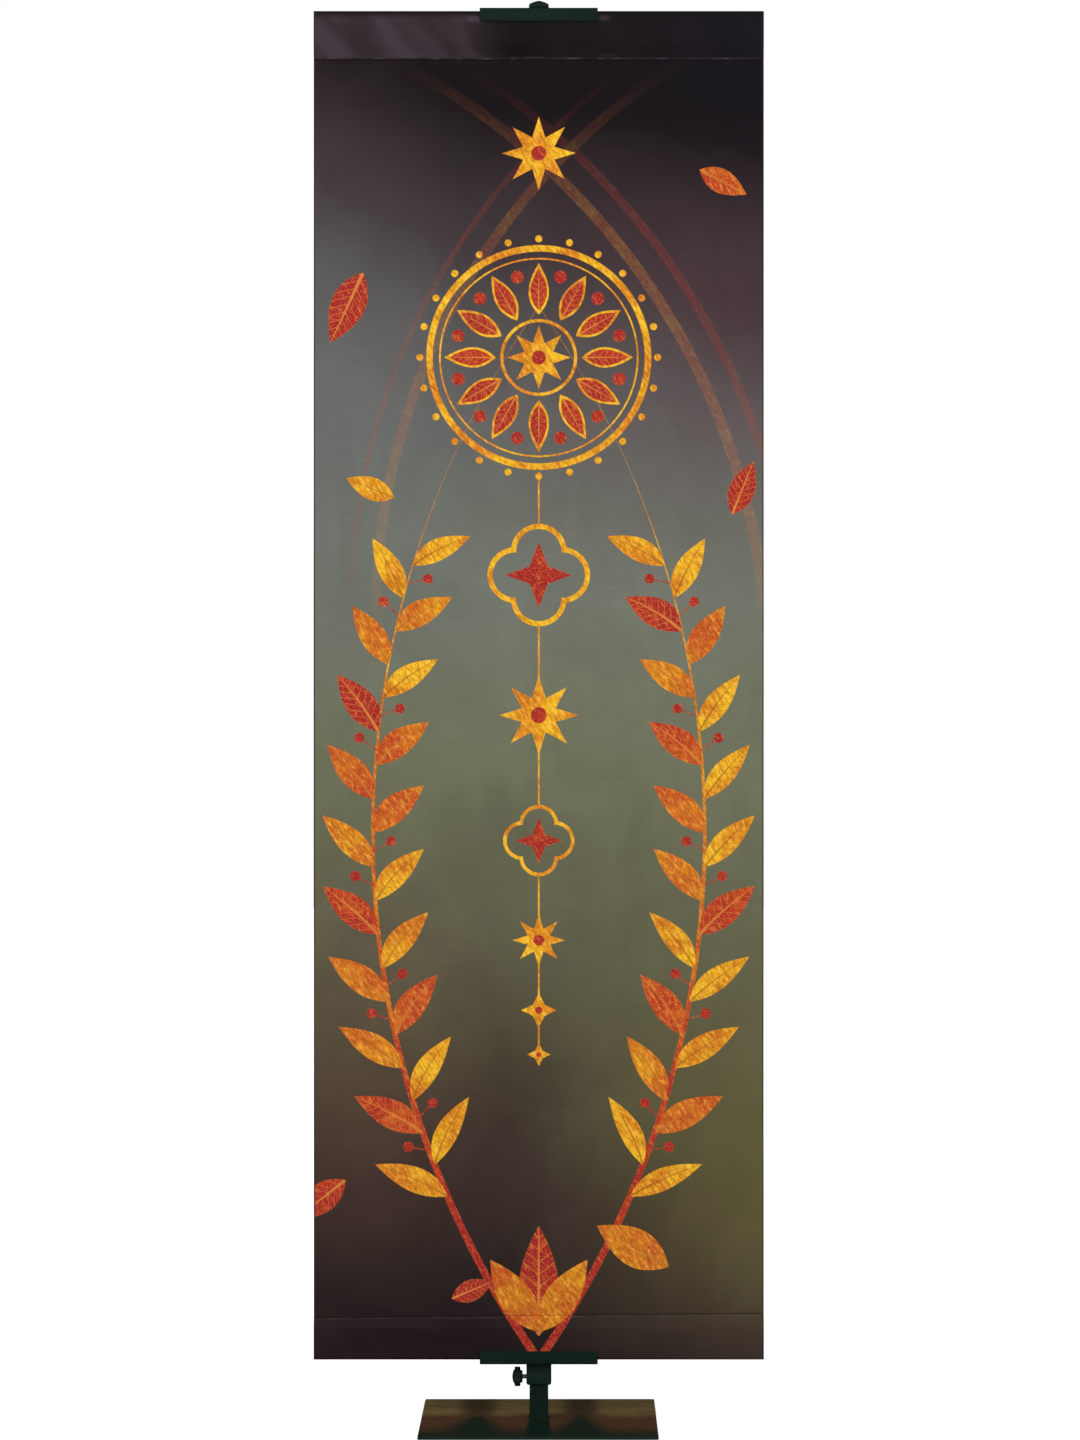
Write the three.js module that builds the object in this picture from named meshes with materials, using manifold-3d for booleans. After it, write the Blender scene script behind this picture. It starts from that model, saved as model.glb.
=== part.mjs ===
// A tall printed worship banner on its floor stand, in millimetres, +Z up, front towards -Y.
// The cloth is turned back at both ends into pockets, each with a flat batten in it. Two folded
// channels grip the battens, one fixed at the pole's top and one on a collar that a knob clamps.
// The origin is on the floor, under the middle of the square base plate.
import * as THREE from 'three';
import { mergeVertices } from 'three/addons/utils/BufferGeometryUtils.js';
import Module from 'manifold-3d';

const wasm = await Module();
wasm.setup();

// Driving sizes
const FIT_GAP = 0.3; // between pieces that touch
const BASE = { side: 320, thickness: 4, cornerRadius: 3, edge: 0.6 };
const POLE = { side: 25.4, wall: 1.5, cornerRadius: 2.5, top: 1922 };
const CAP = { side: 26.8, rim: 3.1, dome: 7.1, flat: 2, fullness: 1.5, spigotSide: 20.8, spigotLength: 20 };
const COLLAR = { side: 34, bore: 26.2, bottom: 50.5, height: 48.9, cornerRadius: 3, chamfer: 2 };
const CLAMP = { length: 160, height: 18, sheet: 2, bendRadius: 1 };
const CLAMP_TOP = 1918.4; // of the upper clamp
const CLAMP_BOTTOM = 80.4; // of the lower clamp
const SPACER = { width: 21.4, height: 16 };
const CLOTH = { width: 610, bottom: 86.4, top: 1914.6, thickness: 1.2 };
const CLOTH_GRID = { columns: 30, panelRows: 24, battenRows: 3, taperRows: 3 };
const POCKET = { topDepth: 66, bottomDepth: 59.5, bottomTilt: 3, clearance: 0.4, turn: 2 };
const HEM = { seamHalf: 1, lip: 4.5, lipEdge: 0.6 };
const BATTEN = { length: 604, width: 40, thickness: 6, edgeRadius: 1.2, inset: 1.6 };
const SCREW = { radius: 3, hole: 3.25, tip: 1, height: 60, inKnob: 9 };
const KNOB = { lobes: 6, radius: 13.4, valley: 1.9, lobeStart: 3.2, lobeThickness: 8, edge: 1 };
const HUB = { radius: 8.5, faceRadius: 10.2, length: 14, standOff: 5.3 };
const ROUND_SIDES = 24;

// Sizes that follow from them
const pocketHalf = BATTEN.thickness / 2 + POCKET.clearance + CLOTH.thickness;
const slotHalf = pocketHalf + FIT_GAP;
const clampBack = -(COLLAR.side / 2 + FIT_GAP);
const clothY = clampBack - CLAMP.sheet - slotHalf;
const topSeam = CLOTH.top - POCKET.topDepth;
const bottomSeam = CLOTH.bottom + POCKET.bottomDepth;

// Soft ridges (height above 0) and troughs (below 0) of the hanging cloth, each along a line
// from (x0, z0) to (x1, z1), with the distance over which it fades to each side.
const PANEL_FOLDS = [
  { x0: -250, z0: 1840, x1: -150, z1: 1420, fade: 60, height: 2.4 },
  { x0: -60, z0: 1850, x1: -35, z1: 1500, fade: 40, height: -1.8 },
  { x0: 70, z0: 1850, x1: 150, z1: 1380, fade: 52, height: 2.0 },
  { x0: 240, z0: 1720, x1: 278, z1: 1200, fade: 48, height: -2.4 },
  { x0: -300, z0: 1160, x1: -272, z1: 700, fade: 52, height: 2.8 },
  { x0: 20, z0: 836, x1: 200, z1: 800, fade: 30, height: 1.2 },
  { x0: -130, z0: 768, x1: 60, z1: 702, fade: 32, height: -1.1 },
  { x0: 150, z0: 562, x1: 245, z1: 500, fade: 28, height: 1.2 },
  { x0: -84, z0: 104, x1: -262, z1: 430, fade: 44, height: 2.0 },
  { x0: 84, z0: 104, x1: 236, z1: 386, fade: 46, height: -1.9 },
  { x0: 304, z0: 920, x1: 286, z1: 420, fade: 48, height: -2.6 },
];
// Puffs of the pockets' front walls, the same way; the clamps hold them down where they grip.
const POCKET_PUFFS = [
  { x0: -268, z0: 1895, x1: -196, z1: 1856, fade: 17, height: 2.2 },
  { x0: -205, z0: 1900, x1: -146, z1: 1856, fade: 15, height: 1.7 },
  { x0: -116, z0: 1902, x1: -84, z1: 1858, fade: 17, height: 3.2 },
  { x0: -46, z0: 1890, x1: -18, z1: 1860, fade: 16, height: 1.5 },
  { x0: 52, z0: 1888, x1: 96, z1: 1862, fade: 18, height: 1.6 },
  { x0: 103, z0: 1904, x1: 140, z1: 1868, fade: 16, height: 1.9 },
  { x0: 196, z0: 1880, x1: 280, z1: 1858, fade: 18, height: 1.1 },
  { x0: -250, z0: 132, x1: -120, z1: 126, fade: 16, height: 1.3 },
  { x0: 112, z0: 100, x1: 190, z1: 130, fade: 18, height: 1.4 },
];

const steel = new THREE.MeshStandardMaterial({ color: 0x18211d, roughness: 0.45, metalness: 0.6 });
const enamel = new THREE.MeshStandardMaterial({ color: 0x141815, roughness: 0.12, metalness: 0.3 });
const plastic = new THREE.MeshStandardMaterial({ color: 0x151c19, roughness: 0.5, metalness: 0 });
const zinc = new THREE.MeshStandardMaterial({ color: 0x9a9c9a, roughness: 0.3, metalness: 1 });
const wood = new THREE.MeshStandardMaterial({ color: 0xb08a5c, roughness: 0.7, metalness: 0 });
const polyester = new THREE.MeshStandardMaterial({ color: 0x4e5650, roughness: 0.6, metalness: 0 });

// Solids for booleans, and back
function toSolid(geometry) {
  const bare = geometry.index ? geometry.toNonIndexed() : geometry.clone();
  bare.deleteAttribute('normal');
  bare.deleteAttribute('uv');
  const merged = mergeVertices(bare, 1e-4);
  return new wasm.Manifold(new wasm.Mesh({
    numProp: 3,
    vertProperties: merged.attributes.position.array,
    triVerts: new Uint32Array(merged.index.array),
  }));
}

function toGeometry(solid) {
  const mesh = solid.getMesh();
  const geometry = new THREE.BufferGeometry();
  geometry.setAttribute('position', new THREE.BufferAttribute(mesh.vertProperties, 3));
  geometry.setIndex(new THREE.BufferAttribute(mesh.triVerts, 1));
  return geometry;
}

function named(name, geometry, material) {
  const mesh = new THREE.Mesh(geometry, material);
  mesh.name = name;
  return mesh;
}

// A rounded rectangle about the origin, as a shape or as a hole
function roundedRectangle(width, height, radius, Kind = THREE.Shape) {
  const x = width / 2;
  const y = height / 2;
  const outline = new Kind();
  outline.moveTo(-x + radius, -y);
  outline.lineTo(x - radius, -y);
  outline.absarc(x - radius, -y + radius, radius, -Math.PI / 2, 0, false);
  outline.absarc(x - radius, y - radius, radius, 0, Math.PI / 2, false);
  outline.absarc(-x + radius, y - radius, radius, Math.PI / 2, Math.PI, false);
  outline.absarc(-x + radius, -y + radius, radius, Math.PI, Math.PI * 1.5, false);
  return outline;
}

// Turns a shape drawn in (Y, Z) and extruded along its own normal, so that it runs along +X
function alongX(geometry) {
  const turn = new THREE.Matrix4().makeBasis(
    new THREE.Vector3(0, 1, 0),
    new THREE.Vector3(0, 0, 1),
    new THREE.Vector3(1, 0, 0),
  );
  return geometry.applyMatrix4(turn);
}

function basePlate() {
  const shape = roundedRectangle(BASE.side, BASE.side, BASE.cornerRadius);
  const geometry = new THREE.ExtrudeGeometry(shape, {
    depth: BASE.thickness - 2 * BASE.edge,
    bevelThickness: BASE.edge,
    bevelSize: BASE.edge,
    bevelOffset: -BASE.edge,
    bevelSegments: 1,
    curveSegments: 4,
  });
  geometry.translate(0, 0, BASE.edge);
  return named('base_plate', geometry, enamel);
}

function pole() {
  const inner = POLE.side - 2 * POLE.wall;
  const shape = roundedRectangle(POLE.side, POLE.side, POLE.cornerRadius);
  shape.holes.push(roundedRectangle(inner, inner, POLE.cornerRadius - POLE.wall, THREE.Path));
  const bottom = BASE.thickness + FIT_GAP;
  const geometry = new THREE.ExtrudeGeometry(shape, {
    depth: POLE.top - bottom,
    bevelEnabled: false,
    curveSegments: 3,
  });
  geometry.translate(0, 0, bottom);
  return named('pole', geometry, steel);
}

// The plug in the pole's top: a spigot inside the tube, a rim and a low dome
function poleCap() {
  const shape = roundedRectangle(CAP.side, CAP.side, POLE.cornerRadius);
  const head = new THREE.ExtrudeGeometry(shape, {
    depth: CAP.rim + CAP.dome,
    steps: 10,
    bevelEnabled: false,
    curveSegments: 3,
  });
  const position = head.attributes.position;
  for (let i = 0; i < position.count; i++) {
    const rise = Math.max(position.getZ(i) - CAP.rim, 0) / CAP.dome;
    const scale = THREE.MathUtils.lerp(1, CAP.flat / CAP.side, rise ** CAP.fullness);
    position.setX(i, position.getX(i) * scale);
    position.setY(i, position.getY(i) * scale);
  }
  head.translate(0, 0, POLE.top + FIT_GAP);
  const spigot = new THREE.BoxGeometry(CAP.spigotSide, CAP.spigotSide, CAP.spigotLength);
  spigot.translate(0, 0, POLE.top + FIT_GAP + CAP.rim / 2 - CAP.spigotLength / 2);
  const solid = toSolid(head).add(toSolid(spigot));
  return named('pole_cap', toGeometry(solid), plastic);
}

// The collar that slides on the pole, chamfered at its ends and drilled for the clamp screw
function lowerSleeve() {
  const shape = roundedRectangle(COLLAR.side, COLLAR.side, COLLAR.cornerRadius);
  const outside = new THREE.ExtrudeGeometry(shape, {
    depth: COLLAR.height - 2 * COLLAR.chamfer,
    bevelThickness: COLLAR.chamfer,
    bevelSize: COLLAR.chamfer,
    bevelOffset: -COLLAR.chamfer,
    bevelSegments: 1,
    curveSegments: 4,
  });
  outside.translate(0, 0, COLLAR.bottom + COLLAR.chamfer);
  const bore = new THREE.BoxGeometry(COLLAR.bore, COLLAR.bore, COLLAR.height * 2);
  bore.translate(0, 0, COLLAR.bottom + COLLAR.height / 2);
  const hole = new THREE.CylinderGeometry(SCREW.hole, SCREW.hole, COLLAR.side, ROUND_SIDES);
  hole.rotateZ(Math.PI / 2);
  hole.translate(-COLLAR.side / 2, 0, SCREW.height);
  const solid = toSolid(outside).subtract(toSolid(bore)).subtract(toSolid(hole));
  return named('lower_sleeve', toGeometry(solid), plastic);
}

// A folded channel, its web at the bottom and its two walls standing up
function channel() {
  const { height, sheet, bendRadius, length } = CLAMP;
  const outer = slotHalf + sheet;
  const bend = bendRadius + sheet;
  const section = new THREE.Shape();
  section.moveTo(-outer, height);
  section.lineTo(-outer, bend);
  section.absarc(-outer + bend, bend, bend, Math.PI, Math.PI * 1.5, false);
  section.lineTo(outer - bend, 0);
  section.absarc(outer - bend, bend, bend, -Math.PI / 2, 0, false);
  section.lineTo(outer, height);
  section.lineTo(slotHalf, height);
  section.lineTo(slotHalf, bend);
  section.absarc(slotHalf - bendRadius, bend, bendRadius, 0, -Math.PI / 2, true);
  section.lineTo(-slotHalf + bendRadius, sheet);
  section.absarc(-slotHalf + bendRadius, bend, bendRadius, -Math.PI / 2, -Math.PI, true);
  section.lineTo(-slotHalf, height);
  const geometry = new THREE.ExtrudeGeometry(section, {
    depth: length,
    bevelEnabled: false,
    curveSegments: 5,
  });
  geometry.translate(0, 0, -length / 2);
  return alongX(geometry);
}

function lowerClamp() {
  const mesh = named('lower_clamp', channel(), steel);
  mesh.position.set(0, clothY, CLAMP_BOTTOM);
  return mesh;
}

function upperClamp() {
  const mesh = named('upper_clamp', channel(), steel);
  mesh.rotation.y = Math.PI;
  mesh.position.set(0, clothY, CLAMP_TOP);
  return mesh;
}

// The block between the pole's front and the upper clamp
function upperSpacer() {
  const front = clampBack + FIT_GAP;
  const back = -POLE.side / 2 - FIT_GAP;
  const geometry = new THREE.BoxGeometry(SPACER.width, back - front, SPACER.height);
  geometry.translate(0, (back + front) / 2, CLAMP_TOP - CLAMP.height + SPACER.height / 2);
  return named('upper_spacer', geometry, steel);
}

function batten(name, middleHeight) {
  const shape = roundedRectangle(BATTEN.thickness, BATTEN.width, BATTEN.edgeRadius);
  const geometry = new THREE.ExtrudeGeometry(shape, {
    depth: BATTEN.length,
    bevelEnabled: false,
    curveSegments: 2,
  });
  geometry.translate(0, 0, -BATTEN.length / 2);
  const mesh = named(name, alongX(geometry), wood);
  mesh.position.set(0, clothY, middleHeight);
  return mesh;
}

// How far the ridges of a list lift the cloth towards the front at (x, z)
function liftAt(list, x, z) {
  let lift = 0;
  for (const { x0, z0, x1, z1, fade, height } of list) {
    const dx = x1 - x0;
    const dz = z1 - z0;
    const along = THREE.MathUtils.clamp(((x - x0) * dx + (z - z0) * dz) / (dx * dx + dz * dz), 0, 1);
    const away = Math.hypot(x - x0 - along * dx, z - z0 - along * dz);
    lift += height * Math.exp(-((away / fade) ** 2));
  }
  return lift;
}

// 0 where a clamp grips the cloth, rising to 1 a little way off
function freeOfClamps(x, z) {
  const beside = Math.max(Math.abs(x) - CLAMP.length / 2, 0);
  const under = Math.max(CLAMP_TOP - CLAMP.height - z, 0);
  const over = Math.max(z - CLAMP_BOTTOM - CLAMP.height, 0);
  const away = Math.hypot(beside, Math.min(under, over));
  return THREE.MathUtils.smoothstep(away, 0, CLAMP.height);
}

// One wall of a pocket as rows from the turn at the cloth's end to the seam. A row has its height z,
// its distance `half` from the cloth's middle, and how much of the panel's folds (hang), of the
// pocket's puffs (puff) and of the seam's tilt it takes. `up` is the way from the end to the seam.
function pocketWall({ end, seam, up, tilt }) {
  const battenEnd = end + up * (BATTEN.inset + BATTEN.width);
  const rows = [{ z: end, half: pocketHalf - POCKET.turn, hang: 0, puff: 0, tilt: 0 }];
  for (let i = 0; i <= CLOTH_GRID.battenRows; i++) {
    const share = i / CLOTH_GRID.battenRows;
    const z = THREE.MathUtils.lerp(end + up * POCKET.turn, battenEnd, share);
    rows.push({ z, half: pocketHalf, hang: 0, puff: Math.sin(share * Math.PI / 2), tilt: 0 });
  }
  for (let i = 1; i <= CLOTH_GRID.taperRows; i++) {
    const share = i / CLOTH_GRID.taperRows;
    const z = THREE.MathUtils.lerp(battenEnd, seam, share);
    const eased = THREE.MathUtils.smoothstep(share, 0, 1);
    const half = THREE.MathUtils.lerp(pocketHalf, HEM.seamHalf, eased);
    rows.push({ z, half, hang: eased, puff: 1 - eased, tilt: share * tilt });
  }
  return rows;
}

// The cloth's section as closed loops of rows: the outline, then the inside of each pocket
function clothSection() {
  const t = CLOTH.thickness;
  const bottom = { end: CLOTH.bottom, seam: bottomSeam, up: 1, tilt: POCKET.bottomTilt };
  const top = { end: CLOTH.top, seam: topSeam, up: -1, tilt: 0 };
  const panelRow = (z, half, tilt = 0) => ({ z, half, hang: 1, puff: 0, tilt });
  const lip = ({ seam, up, tilt }) => panelRow(seam + up * (HEM.lip - HEM.lipEdge), t, tilt);
  const panel = [];
  for (let i = 0; i <= CLOTH_GRID.panelRows; i++) {
    const z = THREE.MathUtils.lerp(bottomSeam + HEM.lip, topSeam - HEM.lip, i / CLOTH_GRID.panelRows);
    panel.push(panelRow(z, t / 2, i === 0 ? bottom.tilt : 0));
  }
  const low = pocketWall(bottom);
  const high = pocketWall(top).reverse();
  const onSide = (rows, side) => rows.map((row) => ({ ...row, side }));
  const front = onSide([...low, ...panel, ...high], -1);
  const back = onSide([...low, lip(bottom), ...panel, lip(top), ...high], 1).reverse();

  // A pocket's inside is one thickness in from its walls, and runs the other way round
  const inside = (wall, { end, up }) => {
    const rows = wall
      .filter((row) => row.half > t + POCKET.clearance)
      .map((row) => ({ ...row, half: row.half - t, z: row.z === end ? end + up * t : row.z }));
    return [...onSide(rows, 1), ...onSide(rows, -1).reverse()];
  };
  return [[...front, ...back], inside(low, bottom), inside(high, top)];
}

// Where a row of the section lies at a distance x across the cloth
function clothPoint({ z, half, hang, puff, tilt, side }, x) {
  const height = z + tilt * x / (CLOTH.width / 2);
  const fold = hang * liftAt(PANEL_FOLDS, x, z);
  const puffs = side < 0 ? liftAt(POCKET_PUFFS, x, z) : -liftAt(POCKET_PUFFS, -x, z) / 2;
  return new THREE.Vector3(x, clothY + side * half - fold - puff * freeOfClamps(x, z) * puffs, height);
}

// The section, lofted across the width and closed at the two side edges
function bannerCloth() {
  const { columns } = CLOTH_GRID;
  const loops = clothSection();
  const points = [];
  const faces = [];
  const starts = loops.map((loop) => {
    const start = points.length;
    for (let c = 0; c <= columns; c++) {
      const x = THREE.MathUtils.lerp(-CLOTH.width / 2, CLOTH.width / 2, c / columns);
      for (const row of loop) points.push(clothPoint(row, x));
    }
    for (let c = 0; c < columns; c++) {
      for (let r = 0; r < loop.length; r++) {
        const next = (r + 1) % loop.length;
        const here = start + c * loop.length;
        const beside = here + loop.length;
        faces.push([here + r, beside + r, beside + next], [here + r, beside + next, here + next]);
      }
    }
    return start;
  });

  for (const [column, facing] of [[0, -1], [columns, 1]]) {
    const rings = loops.map((loop, l) => loop.map((row, r) => starts[l] + column * loop.length + r));
    const flat = (i) => new THREE.Vector2(points[i].y, points[i].z);
    const [outline, ...holes] = rings.map((ring) => ring.map(flat));
    const order = rings.flat();
    for (const triangle of THREE.ShapeUtils.triangulateShape(outline, holes)) {
      const [a, b, c] = triangle.map((i) => order[i]);
      const turned = THREE.ShapeUtils.area([flat(a), flat(b), flat(c)]);
      faces.push(turned * facing > 0 ? [a, b, c] : [a, c, b]);
    }
  }
  const geometry = new THREE.BufferGeometry().setFromPoints(points);
  geometry.setIndex(faces.flat());
  return named('banner_cloth', geometry, polyester);
}

// The star knob: lobes round a domed face and its hub, with a blind hole for the screw. Its axis is X.
function knobHead() {
  const outline = [];
  const pointsPerLobe = 12;
  const points = KNOB.lobes * pointsPerLobe;
  for (let i = 0; i < points; i++) {
    const angle = (i / points) * 2 * Math.PI;
    const dip = KNOB.valley * (1 - Math.cos(KNOB.lobes * angle)) / 2;
    const radius = KNOB.radius - KNOB.edge - dip;
    outline.push(new THREE.Vector2(radius * Math.sin(angle), radius * Math.cos(angle)));
  }
  const lobes = new THREE.ExtrudeGeometry(new THREE.Shape(outline), {
    depth: KNOB.lobeThickness - 2 * KNOB.edge,
    bevelThickness: KNOB.edge,
    bevelSize: KNOB.edge,
    bevelSegments: 2,
  });
  lobes.translate(0, 0, KNOB.lobeStart + KNOB.edge);
  const profile = new THREE.Path();
  profile.moveTo(0, 0);
  profile.quadraticCurveTo(HUB.faceRadius, 0, HUB.faceRadius, KNOB.lobeStart + KNOB.edge);
  profile.lineTo(HUB.radius, KNOB.lobeStart + KNOB.lobeThickness - KNOB.edge);
  profile.lineTo(HUB.radius, HUB.length - KNOB.edge);
  profile.lineTo(HUB.radius - KNOB.edge, HUB.length);
  profile.lineTo(0, HUB.length);
  const hub = new THREE.LatheGeometry(profile.getPoints(6), ROUND_SIDES + ROUND_SIDES / 2);
  hub.rotateX(Math.PI / 2);
  const bore = new THREE.CylinderGeometry(SCREW.hole, SCREW.hole, SCREW.inKnob * 2, ROUND_SIDES);
  bore.rotateX(Math.PI / 2);
  bore.translate(0, 0, HUB.length);
  const solid = toSolid(hub).add(toSolid(lobes)).subtract(toSolid(bore));
  const mesh = named('knob_head', alongX(toGeometry(solid)), plastic);
  mesh.position.set(-COLLAR.side / 2 - HUB.standOff - HUB.length, 0, SCREW.height);
  return mesh;
}

// The clamp screw, from inside the knob to just short of the pole's side
function knobScrew() {
  const end = -POLE.side / 2 - FIT_GAP;
  const start = -COLLAR.side / 2 - HUB.standOff - SCREW.inKnob + FIT_GAP;
  const { radius, tip } = SCREW;
  const profile = [
    [0, start],
    [radius, start],
    [radius, end - tip],
    [radius - tip, end],
    [0, end],
  ];
  const geometry = new THREE.LatheGeometry(profile.map(([r, y]) => new THREE.Vector2(r, y)), ROUND_SIDES);
  geometry.rotateZ(-Math.PI / 2);
  geometry.translate(0, 0, SCREW.height);
  return named('knob_screw', geometry, zinc);
}

const stand = new THREE.Group();
stand.add(basePlate(), pole(), poleCap(), lowerSleeve(), lowerClamp(), upperClamp(), upperSpacer());
const banner = new THREE.Group();
banner.add(
  bannerCloth(),
  batten('top_batten', CLOTH.top - BATTEN.inset - BATTEN.width / 2),
  batten('bottom_batten', CLOTH.bottom + BATTEN.inset + BATTEN.width / 2),
);
const knob = new THREE.Group();
knob.add(knobHead(), knobScrew());

const object = new THREE.Group();
object.add(stand, banner, knob);
export default object;
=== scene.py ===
# A tall printed worship banner on its floor stand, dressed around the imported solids.
# Metres, +Z up, the printed front faces -Y. The origin is on the floor under the base plate.
import math

import bmesh
import bpy
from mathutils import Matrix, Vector, noise


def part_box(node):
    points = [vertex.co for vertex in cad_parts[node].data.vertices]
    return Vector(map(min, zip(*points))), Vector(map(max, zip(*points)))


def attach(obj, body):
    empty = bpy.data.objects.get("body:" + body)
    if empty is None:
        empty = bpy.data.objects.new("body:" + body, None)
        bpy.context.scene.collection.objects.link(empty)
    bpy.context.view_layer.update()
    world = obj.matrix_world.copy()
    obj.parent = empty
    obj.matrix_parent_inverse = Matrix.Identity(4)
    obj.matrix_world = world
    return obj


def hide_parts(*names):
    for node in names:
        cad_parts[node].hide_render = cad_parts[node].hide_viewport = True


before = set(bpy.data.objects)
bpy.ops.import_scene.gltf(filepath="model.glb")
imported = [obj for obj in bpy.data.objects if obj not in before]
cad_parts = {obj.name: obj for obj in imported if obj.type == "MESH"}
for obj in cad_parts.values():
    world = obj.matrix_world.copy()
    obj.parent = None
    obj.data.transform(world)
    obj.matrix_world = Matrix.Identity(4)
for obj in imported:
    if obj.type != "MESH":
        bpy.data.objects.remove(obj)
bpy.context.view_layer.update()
standBody = "stand"
knobBody = "knob"
print("frame loaded:", len(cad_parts), "nodes")


# Scene: camera, floor and light
view = {
    "place": (0.0448, -5.86, 0.9535),
    "lens": 107.61,
    "shiftX": -0.0221,
}


def makeCamera():
    camera = bpy.data.cameras.new("camera")
    camera.lens = view["lens"]
    camera.shift_x = view["shiftX"]
    holder = bpy.data.objects.new("camera", camera)
    holder.location = view["place"]
    holder.rotation_euler = (math.radians(90), 0, 0)
    bpy.context.scene.collection.objects.link(holder)
    bpy.context.scene.camera = holder


studio = {
    "floorDrop": 0.0004,
    "floorRadius": 16.0,
    "floorSides": 96,
    "paleGrey": (0.86, 0.86, 0.86),
    "glowNear": 0.72,
    "glowFar": 1.00,
    "darkRoom": (0.030, 0.028, 0.020),
    "worldLight": 0.45,
    "worldMirrored": (0.022, 0.022, 0.015),
}

lamps = [
    {"name": "keyLight", "place": (-3.8, -3.6, 3.0), "aim": (0, 0, 1.0), "size": 2.6, "power": 124},
    {"name": "fillLight", "place": (4.0, -3.4, 1.8), "aim": (0, 0, 0.9), "size": 2.6, "power": 74},
    {"name": "topLight", "place": (0.0, -4.4, 4.4), "aim": (0, 0, 0.8), "size": 2.4, "power": 38},
    {"name": "frontCard", "place": (0.35, -5.7, 0.75), "aim": (0, 0, 0.5), "size": 0.9, "power": 9},
]


# Pale paper with a glow of its own, which glossy surfaces mirror as a dim room
def paperMaterial():
    material, tree, shader = newMaterial("studioPale")
    shader.inputs["Base Color"].default_value = (*studio["paleGrey"], 1)
    shader.inputs["Roughness"].default_value = 0.9
    shader.inputs["Emission Color"].default_value = (1, 1, 1, 1)
    rays = tree.nodes.new("ShaderNodeLightPath")
    away = lengthOf(tree, objectPlace(tree))
    glow = remap(tree, away, 0.7, 4.0, studio["glowNear"], studio["glowFar"])
    glow = times(tree, rays.outputs["Is Camera Ray"], glow)
    plug(tree, shader.inputs["Emission Strength"], glow)
    dim = tree.nodes.new("ShaderNodeEmission")
    dim.inputs["Color"].default_value = (*studio["darkRoom"], 1)
    mixed = tree.nodes.new("ShaderNodeMixShader")
    tree.links.new(rays.outputs["Is Glossy Ray"], mixed.inputs["Fac"])
    tree.links.new(shader.outputs["BSDF"], mixed.inputs[1])
    tree.links.new(dim.outputs[0], mixed.inputs[2])
    output = next(node for node in tree.nodes if node.type == "OUTPUT_MATERIAL")
    tree.links.new(mixed.outputs[0], output.inputs["Surface"])
    return material


# White where the camera sees it, softer as light, and dim in reflections
def studioWorld():
    world = bpy.data.worlds.new("studioWorld")
    world.use_nodes = True
    tree = world.node_tree
    sky = tree.nodes["Background"]
    rays = tree.nodes.new("ShaderNodeLightPath")
    glossy = rays.outputs["Is Glossy Ray"]
    strength = mixValue(tree, rays.outputs["Is Camera Ray"], studio["worldLight"], 1.0)
    plug(tree, sky.inputs["Strength"], mixValue(tree, glossy, strength, 1.0))
    plug(tree, sky.inputs["Color"], mixColour(tree, glossy, (1, 1, 1), studio["worldMirrored"]))
    return world


def makeStudio():
    sides, reach = studio["floorSides"], studio["floorRadius"]
    turns = [2 * math.pi * i / sides for i in range(sides)]
    rim = [(reach * math.cos(turn), reach * math.sin(turn), -studio["floorDrop"]) for turn in turns]
    mesh = bpy.data.meshes.new("studioFloor")
    mesh.from_pydata(rim, [], [tuple(range(sides))])
    placePiece("studioFloor", mesh, paperMaterial())
    bpy.context.scene.world = studioWorld()
    for lamp in lamps:
        light = bpy.data.lights.new(lamp["name"], "AREA")
        light.size = lamp["size"]
        light.energy = lamp["power"]
        holder = bpy.data.objects.new(lamp["name"], light)
        holder.location = lamp["place"]
        toAim = Vector(lamp["aim"]) - Vector(lamp["place"])
        holder.rotation_euler = toAim.to_track_quat("-Z", "Y").to_euler()
        bpy.context.scene.collection.objects.link(holder)
    bpy.context.scene.view_settings.view_transform = "Standard"


# Shader helpers
def newMaterial(name):
    material = bpy.data.materials.new(name)
    material.use_nodes = True
    tree = material.node_tree
    tree.nodes.clear()
    output = tree.nodes.new("ShaderNodeOutputMaterial")
    shader = tree.nodes.new("ShaderNodeBsdfPrincipled")
    tree.links.new(shader.outputs["BSDF"], output.inputs["Surface"])
    return material, tree, shader


def plug(tree, socket, value):
    if isinstance(value, bpy.types.NodeSocket):
        tree.links.new(value, socket)
    elif isinstance(value, (tuple, list)) and socket.type == "RGBA" and len(value) == 3:
        socket.default_value = (*value, 1)
    else:
        socket.default_value = value


def calc(tree, operation, *values):
    node = tree.nodes.new("ShaderNodeMath")
    node.operation = operation
    for socket, value in zip(node.inputs, values):
        plug(tree, socket, value)
    return node.outputs[0]


def times(tree, first, *others):
    for other in others:
        first = calc(tree, "MULTIPLY", first, other)
    return first


def plus(tree, first, second):
    return calc(tree, "ADD", first, second)


def minus(tree, first, second):
    return calc(tree, "SUBTRACT", first, second)


def absolute(tree, value):
    return calc(tree, "ABSOLUTE", value)


def vectorCalc(tree, operation, *values):
    node = tree.nodes.new("ShaderNodeVectorMath")
    node.operation = operation
    for socket, value in zip(node.inputs, values):
        plug(tree, socket, value)
    return node.outputs["Value" if operation in ("LENGTH", "DISTANCE", "DOT_PRODUCT") else "Vector"]


def lengthOf(tree, vector):
    return vectorCalc(tree, "LENGTH", vector)


def stretched(tree, vector, scales):
    return vectorCalc(tree, "MULTIPLY", vector, scales)


def split(tree, vector, axes="XYZ"):
    node = tree.nodes.new("ShaderNodeSeparateXYZ")
    plug(tree, node.inputs[0], vector)
    return [node.outputs[axis] for axis in axes]


def combine(tree, x, y, z=0.0):
    node = tree.nodes.new("ShaderNodeCombineXYZ")
    for socket, value in zip(node.inputs, (x, y, z)):
        plug(tree, socket, value)
    return node.outputs[0]


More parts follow.
